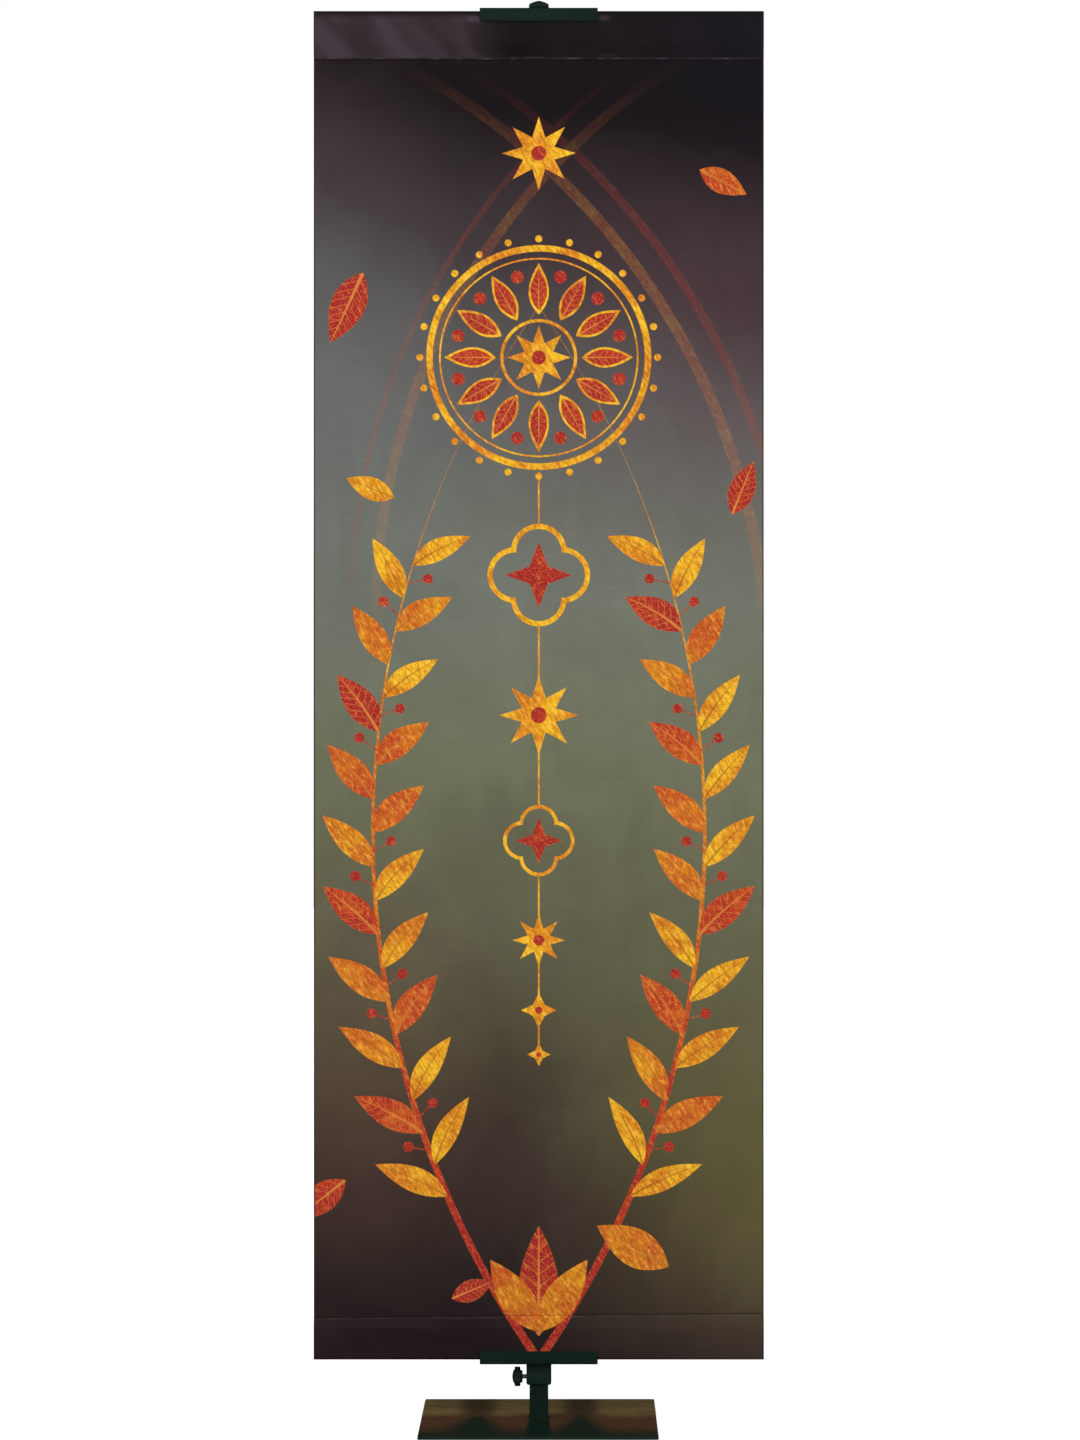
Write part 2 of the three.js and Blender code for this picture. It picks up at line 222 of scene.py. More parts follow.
def remap(tree, value, low, high, newLow=0.0, newHigh=1.0, smooth=True):
    node = tree.nodes.new("ShaderNodeMapRange")
    if smooth:
        node.interpolation_type = "SMOOTHSTEP"
    for label, given in (
        ("Value", value), ("From Min", low), ("From Max", high), ("To Min", newLow), ("To Max", newHigh),
    ):
        plug(tree, node.inputs[label], given)
    return node.outputs["Result"]


def mixColour(tree, share, first, second, way="MIX"):
    node = tree.nodes.new("ShaderNodeMix")
    node.data_type = "RGBA"
    node.blend_type = way
    plug(tree, node.inputs[0], share)
    plug(tree, node.inputs[6], first)
    plug(tree, node.inputs[7], second)
    return node.outputs[2]


def mixValue(tree, share, first, second):
    node = tree.nodes.new("ShaderNodeMix")
    node.data_type = "FLOAT"
    plug(tree, node.inputs[0], share)
    plug(tree, node.inputs[2], first)
    plug(tree, node.inputs[3], second)
    return node.outputs[0]


def noiseValue(tree, vector, scale, detail=3.0, roughness=0.5, distortion=0.0):
    node = tree.nodes.new("ShaderNodeTexNoise")
    plug(tree, node.inputs["Vector"], vector)
    plug(tree, node.inputs["Scale"], scale)
    plug(tree, node.inputs["Detail"], detail)
    plug(tree, node.inputs["Roughness"], roughness)
    plug(tree, node.inputs["Distortion"], distortion)
    return node.outputs["Fac"]


def colourRamp(tree, value, stops):
    node = tree.nodes.new("ShaderNodeValToRGB")
    elements = node.color_ramp.elements
    while len(elements) < len(stops):
        elements.new(0.5)
    for element, (position, colour) in zip(elements, stops):
        element.position = position
        element.color = (*colour, 1)
    plug(tree, node.inputs[0], value)
    return node.outputs["Color"]


def objectPlace(tree):
    return tree.nodes.new("ShaderNodeTexCoord").outputs["Object"]


def linear(red, green, blue):
    def channel(value):
        share = value / 255
        return share / 12.92 if share <= 0.04045 else ((share + 0.055) / 1.055) ** 2.4
    return channel(red), channel(green), channel(blue)


# A shader node group: sockets are (label, kind, default); draw(tree, inputs) returns the outputs
def makeGroup(name, inputs, outputs, draw):
    tree = bpy.data.node_groups.new(name, "ShaderNodeTree")
    for label, kind, default in inputs:
        socket = tree.interface.new_socket(label, in_out="INPUT", socket_type="NodeSocket" + kind)
        if default is not None:
            socket.default_value = default
    for label, kind in outputs:
        tree.interface.new_socket(label, in_out="OUTPUT", socket_type="NodeSocket" + kind)
    start = tree.nodes.new("NodeGroupInput")
    end = tree.nodes.new("NodeGroupOutput")
    results = draw(tree, {label: start.outputs[label] for label, kind, default in inputs})
    for label, kind in outputs:
        tree.links.new(results[label], end.inputs[label])
    return tree


def useGroup(tree, group, **values):
    node = tree.nodes.new("ShaderNodeGroup")
    node.node_tree = group
    for label, value in values.items():
        plug(tree, node.inputs[label[0].upper() + label[1:]], value)
    return node.outputs


# Mesh helpers
def placePiece(name, mesh, *materials):
    piece = bpy.data.objects.new(name, mesh)
    for material in materials:
        mesh.materials.append(material)
    bpy.context.scene.collection.objects.link(piece)
    return piece


def settle(piece):
    bpy.context.view_layer.update()
    graph = bpy.context.evaluated_depsgraph_get()
    mesh = bpy.data.meshes.new_from_object(
        piece.evaluated_get(graph), preserve_all_data_layers=True, depsgraph=graph,
    )
    piece.modifiers.clear()
    piece.data = mesh
    return piece


def bevelled(piece, width, segments=3, angle=35):
    bevel = piece.modifiers.new("edges", "BEVEL")
    bevel.width = width
    bevel.segments = segments
    bevel.limit_method = "ANGLE"
    bevel.angle_limit = math.radians(angle)
    settle(piece)
    smoothed(piece.data)
    return piece


def smoothed(mesh, angle=38):
    mesh.shade_smooth()
    mesh.set_sharp_from_angle(angle=math.radians(angle))
    return mesh


# Rings of points joined to their neighbours; the last ring joins the first if loop is set,
# and otherwise both ends are closed with a face.
def loftMesh(name, rings, loop=False):
    points = [point for ring in rings for point in ring]
    count = len(rings[0])
    faces = []
    for r in range(len(rings) if loop else len(rings) - 1):
        start = r * count
        above = ((r + 1) % len(rings)) * count
        for i in range(count):
            beside = (i + 1) % count
            faces.append((start + i, start + beside, above + beside, above + i))
    if not loop:
        faces.append(tuple(reversed(range(count))))
        faces.append(tuple(range(len(points) - count, len(points))))
    mesh = bpy.data.meshes.new(name)
    mesh.from_pydata(points, [], faces)
    tidyMesh(mesh)
    return mesh


def tidyMesh(mesh):
    shape = bmesh.new()
    shape.from_mesh(mesh)
    bmesh.ops.remove_doubles(shape, verts=shape.verts, dist=1e-7)
    bmesh.ops.recalc_face_normals(shape, faces=shape.faces)
    shape.to_mesh(mesh)
    shape.free()


# A rounded square about the pole's axis, anticlockwise seen from above
def roundedSquare(side, radius, height, segments=6):
    ring = []
    inner = side / 2 - radius
    for corner, (signX, signY) in enumerate(((1, 1), (-1, 1), (-1, -1), (1, -1))):
        for i in range(segments + 1):
            angle = math.radians(90) * (corner + i / segments)
            x = signX * inner + radius * math.cos(angle)
            y = signY * inner + radius * math.sin(angle)
            ring.append((x, y, height))
    return ring


# A circle about a line along X
def circleAbout(x, height, radius, sides):
    turns = [2 * math.pi * i / sides for i in range(sides)]
    return [(x, radius * math.cos(turn), height + radius * math.sin(turn)) for turn in turns]


def quarterTurns(steps):
    return [math.radians(90) * i / steps for i in range(steps + 1)]


def smoothStep(value, low, high):
    share = min(max((value - low) / (high - low), 0.0), 1.0)
    return share * share * (3 - 2 * share)


def lerp(first, second, share):
    return first + (second - first) * share


# The printed cloth. Its outline and its clamps' places come from the frame; the folds are the solids'.
clothLow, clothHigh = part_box("banner_cloth")
clampLow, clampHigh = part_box("upper_clamp")
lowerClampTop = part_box("lower_clamp")[1].z
battenLow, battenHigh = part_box("top_batten")
cloth = {
    "thickness": 0.0005,
    "columns": 140,
    "rowStep": 0.0092,
    "pocketGap": 0.0009,
    "topPocket": 0.066,
    "bottomPocket": 0.0595,
    "bottomTilt": 0.003,
    "hemLip": 0.0045,
    "lipBulge": 0.0011,
    "lipReach": 0.0034,
    "hemDepth": 0.00055,
    "battenSlack": 0.0016,
    "turnHeight": 0.0035,
    "turnRows": 12,
    "backWallRows": 8,
    "frontWallRows": 15,
    "backTaper": (0.002, 0.005, 0.010, 0.016),
    "frontTaper": (0.020, 0.0165, 0.0135, 0.011, 0.009, 0.0072, 0.0057, 0.0044, 0.0032, 0.0021, 0.0011),
    "underSeam": (0, 0.0012, 0.0026, 0.0044, 0.0068, 0.0100, 0.0142, 0.0196),
    "tiltReach": 0.06,
    "seamDip": 0.00035,
    "puckerDepth": 0.0007,
    "pocketRipple": 0.0003,
    "panelWave": 0.0007,
    "panelRipple": 0.00022,
}
clothWidth = clothHigh.x - clothLow.x
clothY = (clampLow.y + clampHigh.y) / 2
topSeam = clothHigh.z - cloth["topPocket"]
bottomSeam = clothLow.z + cloth["bottomPocket"]
battenThick = battenHigh.y - battenLow.y
pocketHalf = battenThick / 2 + cloth["pocketGap"] + cloth["thickness"] / 2

panelFolds = [
    {"x0": -0.250, "z0": 1.840, "x1": -0.150, "z1": 1.420, "fade": 0.060, "height": 0.0024},
    {"x0": -0.060, "z0": 1.850, "x1": -0.035, "z1": 1.500, "fade": 0.040, "height": -0.0018},
    {"x0": 0.070, "z0": 1.850, "x1": 0.150, "z1": 1.380, "fade": 0.052, "height": 0.0020},
    {"x0": 0.240, "z0": 1.720, "x1": 0.278, "z1": 1.200, "fade": 0.048, "height": -0.0024},
    {"x0": -0.300, "z0": 1.160, "x1": -0.272, "z1": 0.700, "fade": 0.052, "height": 0.0028},
    {"x0": 0.020, "z0": 0.836, "x1": 0.200, "z1": 0.800, "fade": 0.030, "height": 0.0012},
    {"x0": -0.130, "z0": 0.768, "x1": 0.060, "z1": 0.702, "fade": 0.032, "height": -0.0011},
    {"x0": 0.150, "z0": 0.562, "x1": 0.245, "z1": 0.500, "fade": 0.028, "height": 0.0012},
    {"x0": -0.084, "z0": 0.104, "x1": -0.262, "z1": 0.430, "fade": 0.044, "height": 0.0020},
    {"x0": 0.084, "z0": 0.104, "x1": 0.236, "z1": 0.386, "fade": 0.046, "height": -0.0019},
    {"x0": 0.304, "z0": 0.920, "x1": 0.286, "z1": 0.420, "fade": 0.048, "height": -0.0026},
]
pocketPuffs = [
    {"x0": -0.268, "z0": 1.895, "x1": -0.196, "z1": 1.856, "fade": 0.017, "height": 0.0022},
    {"x0": -0.205, "z0": 1.900, "x1": -0.146, "z1": 1.856, "fade": 0.015, "height": 0.0017},
    {"x0": -0.116, "z0": 1.902, "x1": -0.084, "z1": 1.858, "fade": 0.017, "height": 0.0032},
    {"x0": -0.046, "z0": 1.890, "x1": -0.018, "z1": 1.860, "fade": 0.016, "height": 0.0015},
    {"x0": 0.052, "z0": 1.888, "x1": 0.096, "z1": 1.862, "fade": 0.018, "height": 0.0016},
    {"x0": 0.103, "z0": 1.904, "x1": 0.140, "z1": 1.868, "fade": 0.016, "height": 0.0019},
    {"x0": 0.196, "z0": 1.880, "x1": 0.280, "z1": 1.858, "fade": 0.018, "height": 0.0011},
    {"x0": -0.250, "z0": 0.132, "x1": -0.120, "z1": 0.126, "fade": 0.016, "height": 0.0013},
    {"x0": 0.112, "z0": 0.100, "x1": 0.190, "z1": 0.130, "fade": 0.018, "height": 0.0014},
]


def liftAt(folds, x, z):
    lift = 0
    for fold in folds:
        dx = fold["x1"] - fold["x0"]
        dz = fold["z1"] - fold["z0"]
        along = ((x - fold["x0"]) * dx + (z - fold["z0"]) * dz) / (dx * dx + dz * dz)
        along = min(max(along, 0), 1)
        away = math.hypot(x - fold["x0"] - along * dx, z - fold["z0"] - along * dz)
        lift += fold["height"] * math.exp(-((away / fold["fade"]) ** 2))
    return lift


# 0 where a clamp grips the cloth, rising to 1 a clamp's height away
def freeOfClamps(x, z):
    clampHeight = clampHigh.z - clampLow.z
    beside = max(abs(x) - clampHigh.x, 0)
    under = max(clampLow.z - z, 0)
    over = max(z - lowerClampTop, 0)
    return smoothStep(math.hypot(beside, min(under, over)), 0, clampHeight)


# A row across the cloth: its height and depth, and its share in the panel's folds (hang), in the
# pockets' puffs (puff) and in the slant of the bottom seam (tilt)
def clothRow(side, z, y, hang=0, puff=0, tilt=0, **more):
    return {"side": side, "z": z, "y": y, "hang": hang, "puff": puff, "tilt": tilt, **more}


# A pocket's rows from the back hem's lip, up the back wall, round the batten and down the front wall
# to the seam. `up` is the way from the seam to the cloth's end.
def pocketRows(end, seam, up, tilt):
    battenEnd = end - up * (battenHigh.z - battenLow.z + cloth["battenSlack"])
    taper = abs(battenEnd - seam)
    wall = abs(end - battenEnd) - cloth["turnHeight"]
    lip, hemDepth = cloth["hemLip"], cloth["hemDepth"]
    rows = [clothRow("back", seam - up * reach, hemDepth, 1, 0, tilt) for reach in (lip, lip / 2, 0)]
    for reach in (*cloth["backTaper"], taper):
        share = reach / taper
        eased = smoothStep(share, 0, 1)
        depth = lerp(hemDepth, pocketHalf, eased)
        rows.append(clothRow("back", seam + up * reach, depth, 1 - eased, eased, tilt * (1 - share)))
    for step in range(1, cloth["backWallRows"]):
        share = step / cloth["backWallRows"]
        puff = math.cos(share * math.pi / 2)
        rows.append(clothRow("back", battenEnd + up * wall * share, pocketHalf, 0, puff))
    turnBase = end - up * (cloth["turnHeight"] + cloth["thickness"] / 2)
    for step in range(cloth["turnRows"] + 1):
        angle = math.pi * step / cloth["turnRows"]
        height = turnBase + up * cloth["turnHeight"] * math.sin(angle)
        rows.append(clothRow("turn", height, pocketHalf * math.cos(angle)))
    for step in range(1, cloth["frontWallRows"]):
        share = 1 - step / cloth["frontWallRows"]
        puff = math.cos(share * math.pi / 2)
        rows.append(clothRow("front", battenEnd + up * wall * share, -pocketHalf, 0, puff))
    # Towards the seam the rows come closer, as far as the taper has room for them
    for reach in (taper, *(reach for reach in cloth["frontTaper"] if reach < taper - 0.001)):
        share = reach / taper
        eased = smoothStep(share, 0, 1)
        depth = -pocketHalf * eased
        rows.append(clothRow(
            "front", seam + up * reach, depth, 1 - eased, eased, tilt * (1 - share), bulge=reach,
        ))
    return rows


def clothRows():
    top = pocketRows(clothHigh.z, topSeam, 1, 0)
    bottom = pocketRows(clothLow.z, bottomSeam, -1, cloth["bottomTilt"])
    near = cloth["underSeam"]
    middle = topSeam - bottomSeam - 2 * near[-1]
    count = round(middle / cloth["rowStep"])
    heights = [topSeam - reach for reach in near]
    heights += [topSeam - near[-1] - middle * i / count for i in range(1, count)]
    heights += [bottomSeam + reach for reach in reversed(near)]
    panel = []
    for z in heights:
        level = min(z - bottomSeam, cloth["tiltReach"]) / cloth["tiltReach"]
        panel.append(clothRow("panel", z, 0, 1, 0, cloth["bottomTilt"] * (1 - level)))
    return top + panel + list(reversed(bottom))


# The middle of the cloth's thickness on a row, at a distance x across
def clothPoint(x, row):
    z = row["z"] + row["tilt"] * x / (clothWidth / 2)
    y = row["y"] - row["hang"] * liftAt(panelFolds, x, row["z"])
    if row["puff"]:
        free = row["puff"] * freeOfClamps(x, row["z"])
        if row["side"] == "front":
            ripple = cloth["pocketRipple"] * noise.noise((x * 38, z * 25, 4.2))
            y -= free * (liftAt(pocketPuffs, x, z) + ripple)
        else:
            y += free * liftAt(pocketPuffs, -x, z) / 2
    if row["side"] not in ("front", "panel"):
        return Vector((x, clothY + y, z))
    # The seam puckers the cloth on both sides, most of all the pocket's lip
    pucker = noise.noise((x * 46, 7.7, 1.3)) + 0.6 * noise.noise((x * 120, 2.1, 5.9))
    seamAway = min(abs(row["z"] - topSeam), abs(row["z"] - bottomSeam))
    if "bulge" in row:
        reach = row["bulge"] / cloth["lipReach"]
        y -= cloth["lipBulge"] * reach * math.exp(1 - reach) * (1 + 0.9 * pucker)
    else:
        y += cloth["seamDip"] * math.exp(-seamAway / 0.002)
        fade = math.exp(-seamAway / 0.014) * smoothStep(seamAway, 0, 0.004)
        y -= cloth["puckerDepth"] * pucker * fade
    if row["side"] == "panel":
        free = smoothStep(seamAway, 0.01, 0.12)
        y += free * cloth["panelWave"] * noise.noise((x * 7, row["z"] * 4, 9.1))
        y += free * cloth["panelRipple"] * noise.noise((x * 26, row["z"] * 17, 3.3))
    return Vector((x, clothY + y, z))


def makeCloth(printed, reverse, cut):
    rows = clothRows()
    columns = cloth["columns"]
    across = [lerp(clothLow.x, clothHigh.x, c / columns) for c in range(columns + 1)]
    points = [clothPoint(x, row) for row in rows for x in across]
    faces = []
    for r in range(len(rows) - 1):
        for c in range(columns):
            corner = r * (columns + 1) + c
            faces.append((corner, corner + columns + 1, corner + columns + 2, corner + 1))
    mesh = bpy.data.meshes.new("bannerCloth")
    mesh.from_pydata(points, [], faces)

    # The print is laid out along the cloth, so it runs on round the pockets
    along = [0]
    for before, row in zip(rows, rows[1:]):
        along.append(along[-1] + math.hypot(row["z"] - before["z"], row["y"] - before["y"]))
    panelStart = next(i for i, row in enumerate(rows) if row["side"] == "panel")
    place = mesh.attributes.new("printPlace", "FLOAT_VECTOR", "POINT")
    values = []
    for length in along:
        for x in across:
            values += [x, 0, topSeam - (length - along[panelStart])]
    place.data.foreach_set("vector", values)
    mesh.shade_smooth()
    piece = placePiece("bannerCloth", mesh, printed, reverse, cut)
    wall = piece.modifiers.new("wall", "SOLIDIFY")
    wall.thickness = cloth["thickness"]
    wall.offset = 0
    wall.material_offset = 1
    wall.material_offset_rim = 2
    settle(piece)
    piece.data.set_sharp_from_angle(angle=math.radians(60))
    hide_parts("banner_cloth")
    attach(piece, standBody)
    print("cloth:", len(piece.data.polygons), "faces, cut", round(along[-1], 3), "m long")
    return piece, rows, along[-1]


# Shader groups of the print. Distances are in metres, and a mask is 1 inside its shape.
inkEdge = 0.0005


def inside(tree, distance, edge=inkEdge):
    return remap(tree, distance, -edge, edge, 1.0, 0.0)


def joined(tree, first, second):
    return calc(tree, "MAXIMUM", first, second)


# A pointed leaf that grows from its own origin, with a rib and slanting veins
def drawLeaf(tree, given):
    across, along = split(tree, given["Place"], "XY")
    wide = absolute(tree, across)
    share = calc(tree, "MINIMUM", calc(tree, "DIVIDE", along, given["Length"]), 1.2)
    rest = minus(tree, 1.0, share)
    half = times(tree, share, rest, plus(tree, 1.75, rest), given["Width"], 0.9)
    leaf = inside(tree, minus(tree, wide, half))
    ribHalf = times(tree, given["Width"], calc(tree, "MULTIPLY_ADD", rest, 0.045, 0.008))
    rib = inside(tree, minus(tree, wide, ribHalf), inkEdge * 0.6)
    slant = calc(tree, "DIVIDE", calc(tree, "MULTIPLY_ADD", wide, -0.8, along), given["Length"])
    wave = calc(tree, "PINGPONG", times(tree, slant, given["Veins"]), 0.5)
    side = remap(tree, wave, 0.02, 0.07, 0.75, 0.0)
    return {"Leaf": leaf, "Vein": times(tree, joined(tree, rib, side), leaf)}


# How far a point is outside a star: the turn is folded into half a tip, between tip and valley
def drawStar(tree, given):
    across, up = split(tree, given["Place"], "XY")
    radius = lengthOf(tree, given["Place"])
    sector = calc(tree, "DIVIDE", math.pi, given["Tips"])
    turn = calc(tree, "PINGPONG", calc(tree, "ARCTAN2", across, up), sector)
    foldedX = times(tree, radius, calc(tree, "COSINE", turn))
    foldedY = times(tree, radius, calc(tree, "SINE", turn))
    valleyX = times(tree, given["Inner"], calc(tree, "COSINE", sector))
    edgeX = minus(tree, valleyX, given["Outer"])
    edgeY = times(tree, given["Inner"], calc(tree, "SINE", sector))
    outward = vectorCalc(tree, "NORMALIZE", combine(tree, edgeY, times(tree, edgeX, -1.0)))
    fromTip = combine(tree, minus(tree, foldedX, given["Outer"]), foldedY)
    return {"Distance": vectorCalc(tree, "DOT_PRODUCT", fromTip, outward)}


# Four round lobes: a traditional quatrefoil
def drawQuatrefoil(tree, given):
    across, up = split(tree, given["Place"], "XY")
    wide = absolute(tree, across)
    tall = absolute(tree, up)
    reach = calc(tree, "MAXIMUM", wide, tall)
    other = calc(tree, "MINIMUM", wide, tall)
    lobe = times(tree, given["Radius"], 0.52)
    fromLobe = combine(tree, minus(tree, reach, minus(tree, given["Radius"], lobe)), other)
    return {"Distance": minus(tree, lengthOf(tree, fromLobe), lobe)}


laurel = {
    "centreX": -1.021,
    "centreZ": 0.80,
    "radius": 1.246,
    "leafPitch": 0.092,
    "leafLength": 0.104,
    "leafWidth": 0.036,
    "leafLean": math.radians(36),
    "leafStart": -0.54,
    "leafEnd": 0.40,
    "leafBend": 1.6,
    "stemFoot": -0.76,
    "stemTip": 0.50,
    "stemHalf": 0.0055,
    "berryRadius": 0.0068,
    "berryOff": 0.025,
    "berryShare": 0.88,
    "stalkShift": 0.0138,
    "stalkLean": -0.55,
    "stalkHalf": 0.0008,
    "stalkReach": 0.024,
}


# The pair of branches: the distance round a large circle runs along each stem
def drawLaurel(tree, given):
    across, up = split(tree, given["Place"], "XZ")
    fromX = minus(tree, absolute(tree, across), laurel["centreX"])
    fromZ = minus(tree, up, laurel["centreZ"])
    along = times(tree, calc(tree, "ARCTAN2", fromZ, fromX), laurel["radius"])
    off = minus(tree, lengthOf(tree, combine(tree, fromX, fromZ)), laurel["radius"])
    away = absolute(tree, off)
    progress = remap(tree, along, laurel["stemFoot"], laurel["stemTip"], 0.0, 1.0, smooth=False)
    stemHalf = times(tree, laurel["stemHalf"], calc(tree, "MULTIPLY_ADD", progress, -0.97, 1.0))
    stem = inside(tree, minus(tree, away, stemHalf))

    # Leaves stand in cells along the stem, half a pitch further on at its outer side
    pitch = laurel["leafPitch"]
    outer = calc(tree, "GREATER_THAN", off, 0.0)
    shifted = calc(tree, "MULTIPLY_ADD", outer, pitch / 2, along)
    cell = calc(tree, "FLOOR", calc(tree, "DIVIDE", shifted, pitch))
    local = calc(tree, "MULTIPLY_ADD", cell, -pitch, shifted)
    rightSide = calc(tree, "GREATER_THAN", across, 0.0)
    chance = tree.nodes.new("ShaderNodeTexWhiteNoise")
    plug(tree, chance.inputs["Vector"], combine(tree, cell, outer, rightSide))
    hashed = chance.outputs["Value"]
    cosine, sine = math.cos(laurel["leafLean"]), math.sin(laurel["leafLean"])
    leafAlong = calc(tree, "MULTIPLY_ADD", local, cosine, times(tree, away, sine))
    leafAcross = calc(tree, "MULTIPLY_ADD", local, -sine, times(tree, away, cosine))
    bend = times(tree, leafAlong, leafAlong, laurel["leafBend"])
    length = times(tree, laurel["leafLength"], calc(tree, "MULTIPLY_ADD", progress, -0.22, 1.06))
    width = times(tree, laurel["leafWidth"], calc(tree, "MULTIPLY_ADD", hashed, 0.3, 0.82))
    leafPlace = combine(tree, minus(tree, leafAcross, bend), leafAlong)
    leaf = useGroup(
        tree, given["leafGroup"], place=leafPlace, length=length, width=width, veins=9.0,
    )
    cellPlace = times(tree, cell, pitch)
    grows = times(
        tree, calc(tree, "GREATER_THAN", cellPlace, laurel["leafStart"]),
        calc(tree, "LESS_THAN", cellPlace, laurel["leafEnd"]),
    )

    # A berry on a short stalk in every second cell
    berryPlace = pitch * laurel["berryShare"]
    berryAt = combine(tree, minus(tree, local, berryPlace), minus(tree, away, laurel["berryOff"]))
    berry = inside(tree, minus(tree, lengthOf(tree, berryAt), laurel["berryRadius"]))
    fromStalk = minus(tree, local, berryPlace - laurel["stalkShift"])
    stalkOff = absolute(tree, calc(tree, "MULTIPLY_ADD", away, laurel["stalkLean"], fromStalk))
    stalk = times(
        tree, inside(tree, minus(tree, stalkOff, laurel["stalkHalf"])),
        calc(tree, "LESS_THAN", away, laurel["stalkReach"]),
    )
    odd = calc(tree, "PINGPONG", cell, 1.0)
    return {
        "Stem": stem,
        "Leaf": times(tree, leaf["Leaf"], grows),
        "Vein": times(tree, leaf["Vein"], grows),
        "Berry": times(tree, joined(tree, berry, stalk), odd, grows),
        "Chance": hashed,
        "Progress": progress,
    }


rosette = {
    "height": 1.445,
    "rim": 0.148,
    "rimHalf": 0.0045,
    "innerRim": 0.134,
    "innerRimHalf": 0.0012,
    "petals": 12,
    "petalStart": 0.058,
    "petalLength": 0.070,
    "petalWidth": 0.027,
    "petalLine": 0.0028,
    "heartLift": 0.006,
    "heartShorter": 0.013,
    "hub": 0.050,
    "hubHalf": 0.0022,
    "starOuter": 0.043,
    "starInner": 0.021,
    "bead": 0.0048,
    "beadRing": 0.161,
    "drop": 0.0085,
    "dropRing": 0.113,
    "centre": 0.0095,
}


# A round rose of petals, rings and beads about its own middle
def drawRosette(tree, given):
    across, up = split(tree, given["Place"], "XY")
    radius = lengthOf(tree, given["Place"])
    angle = calc(tree, "ARCTAN2", across, up)

    def ring(at, half):
        return inside(tree, minus(tree, absolute(tree, minus(tree, radius, at)), half))

    def around(count, turned, at):
        folded = calc(tree, "PINGPONG", plus(tree, angle, turned), math.pi / count)
        sideways = times(tree, radius, calc(tree, "SINE", folded))
        outwards = times(tree, radius, calc(tree, "COSINE", folded))
        return combine(tree, sideways, minus(tree, outwards, at))

    def dot(place, size):
        return inside(tree, minus(tree, lengthOf(tree, place), size))

    petals = rosette["petals"]
    rings = joined(
        tree, ring(rosette["rim"], rosette["rimHalf"]), ring(rosette["innerRim"], rosette["innerRimHalf"]),
    )
    rings = joined(tree, rings, ring(rosette["hub"], rosette["hubHalf"]))
    petalPlace = around(petals, 0.0, rosette["petalStart"])
    petal = useGroup(
        tree, given["leafGroup"], place=petalPlace,
        length=rosette["petalLength"], width=rosette["petalWidth"], veins=0.0,
    )
    heartPlace = vectorCalc(tree, "SUBTRACT", petalPlace, (0, rosette["heartLift"], 0))
    heart = useGroup(
        tree, given["leafGroup"], place=heartPlace, length=rosette["petalLength"] - rosette["heartShorter"],
        width=rosette["petalWidth"] - 2 * rosette["petalLine"], veins=7.0,
    )
    star = useGroup(
        tree, given["starGroup"], place=given["Place"], tips=8.0,
        outer=rosette["starOuter"], inner=rosette["starInner"],
    )
    beads = dot(around(2 * petals, 0.0, rosette["beadRing"]), rosette["bead"])
    drops = dot(around(petals, math.pi / petals, rosette["dropRing"]), rosette["drop"])
    centre = inside(tree, minus(tree, radius, rosette["centre"]))
    starBeads = joined(tree, inside(tree, star["Distance"]), beads)
    gold = joined(tree, joined(tree, rings, petal["Leaf"]), starBeads)
    red = joined(tree, joined(tree, drops, centre), heart["Leaf"])
    return {"Gold": gold, "Red": red, "Vein": heart["Vein"]}


# What hangs in a line under the rose and stands over it, each with its height and radius
pendants = [
    {"kind": "star", "height": 1.722, "radius": 0.050, "tips": 8},
    {"kind": "quatrefoil", "height": 1.150, "radius": 0.066},
    {"kind": "star", "height": 0.960, "radius": 0.054, "tips": 8},
    {"kind": "quatrefoil", "height": 0.790, "radius": 0.046},
    {"kind": "star", "height": 0.655, "radius": 0.036, "tips": 8},
    {"kind": "star", "height": 0.560, "radius": 0.024, "tips": 4},
    {"kind": "star", "height": 0.500, "radius": 0.016, "tips": 4},
]
chain = {"top": 1.290, "bottom": 0.500, "half": 0.0012}
pendantShares = {"valley": 0.46, "heart": 0.2, "border": 0.055, "innerTip": 0.68, "innerValley": 0.26}


def drawPendants(tree, given):
    across, up = split(tree, given["Place"], "XZ")
    gold = times(
        tree, inside(tree, minus(tree, absolute(tree, across), chain["half"])),
        calc(tree, "LESS_THAN", up, chain["top"]), calc(tree, "GREATER_THAN", up, chain["bottom"]),
    )
    red = 0.0
    for pendant in pendants:
        place = combine(tree, across, minus(tree, up, pendant["height"]))
        sizes = {part: pendant["radius"] * share for part, share in pendantShares.items()}
        if pendant["kind"] == "star":
            outline = useGroup(
                tree, given["starGroup"], place=place, tips=float(pendant["tips"]),
                outer=pendant["radius"], inner=sizes["valley"],
            )["Distance"]
            heart = minus(tree, lengthOf(tree, place), sizes["heart"])
            gold = joined(tree, gold, inside(tree, outline))
        else:
            outline = useGroup(
                tree, given["quatrefoilGroup"], place=place, radius=pendant["radius"],
            )["Distance"]
            border = minus(tree, absolute(tree, outline), sizes["border"])
            heart = useGroup(
                tree, given["starGroup"], place=place, tips=4.0,
                outer=sizes["innerTip"], inner=sizes["innerValley"],
            )["Distance"]
            cleared = minus(tree, 1.0, inside(tree, outline))
            gold = joined(tree, times(tree, gold, cleared), inside(tree, border))
        red = joined(tree, red, inside(tree, heart))
    return {"Gold": gold, "Red": red}


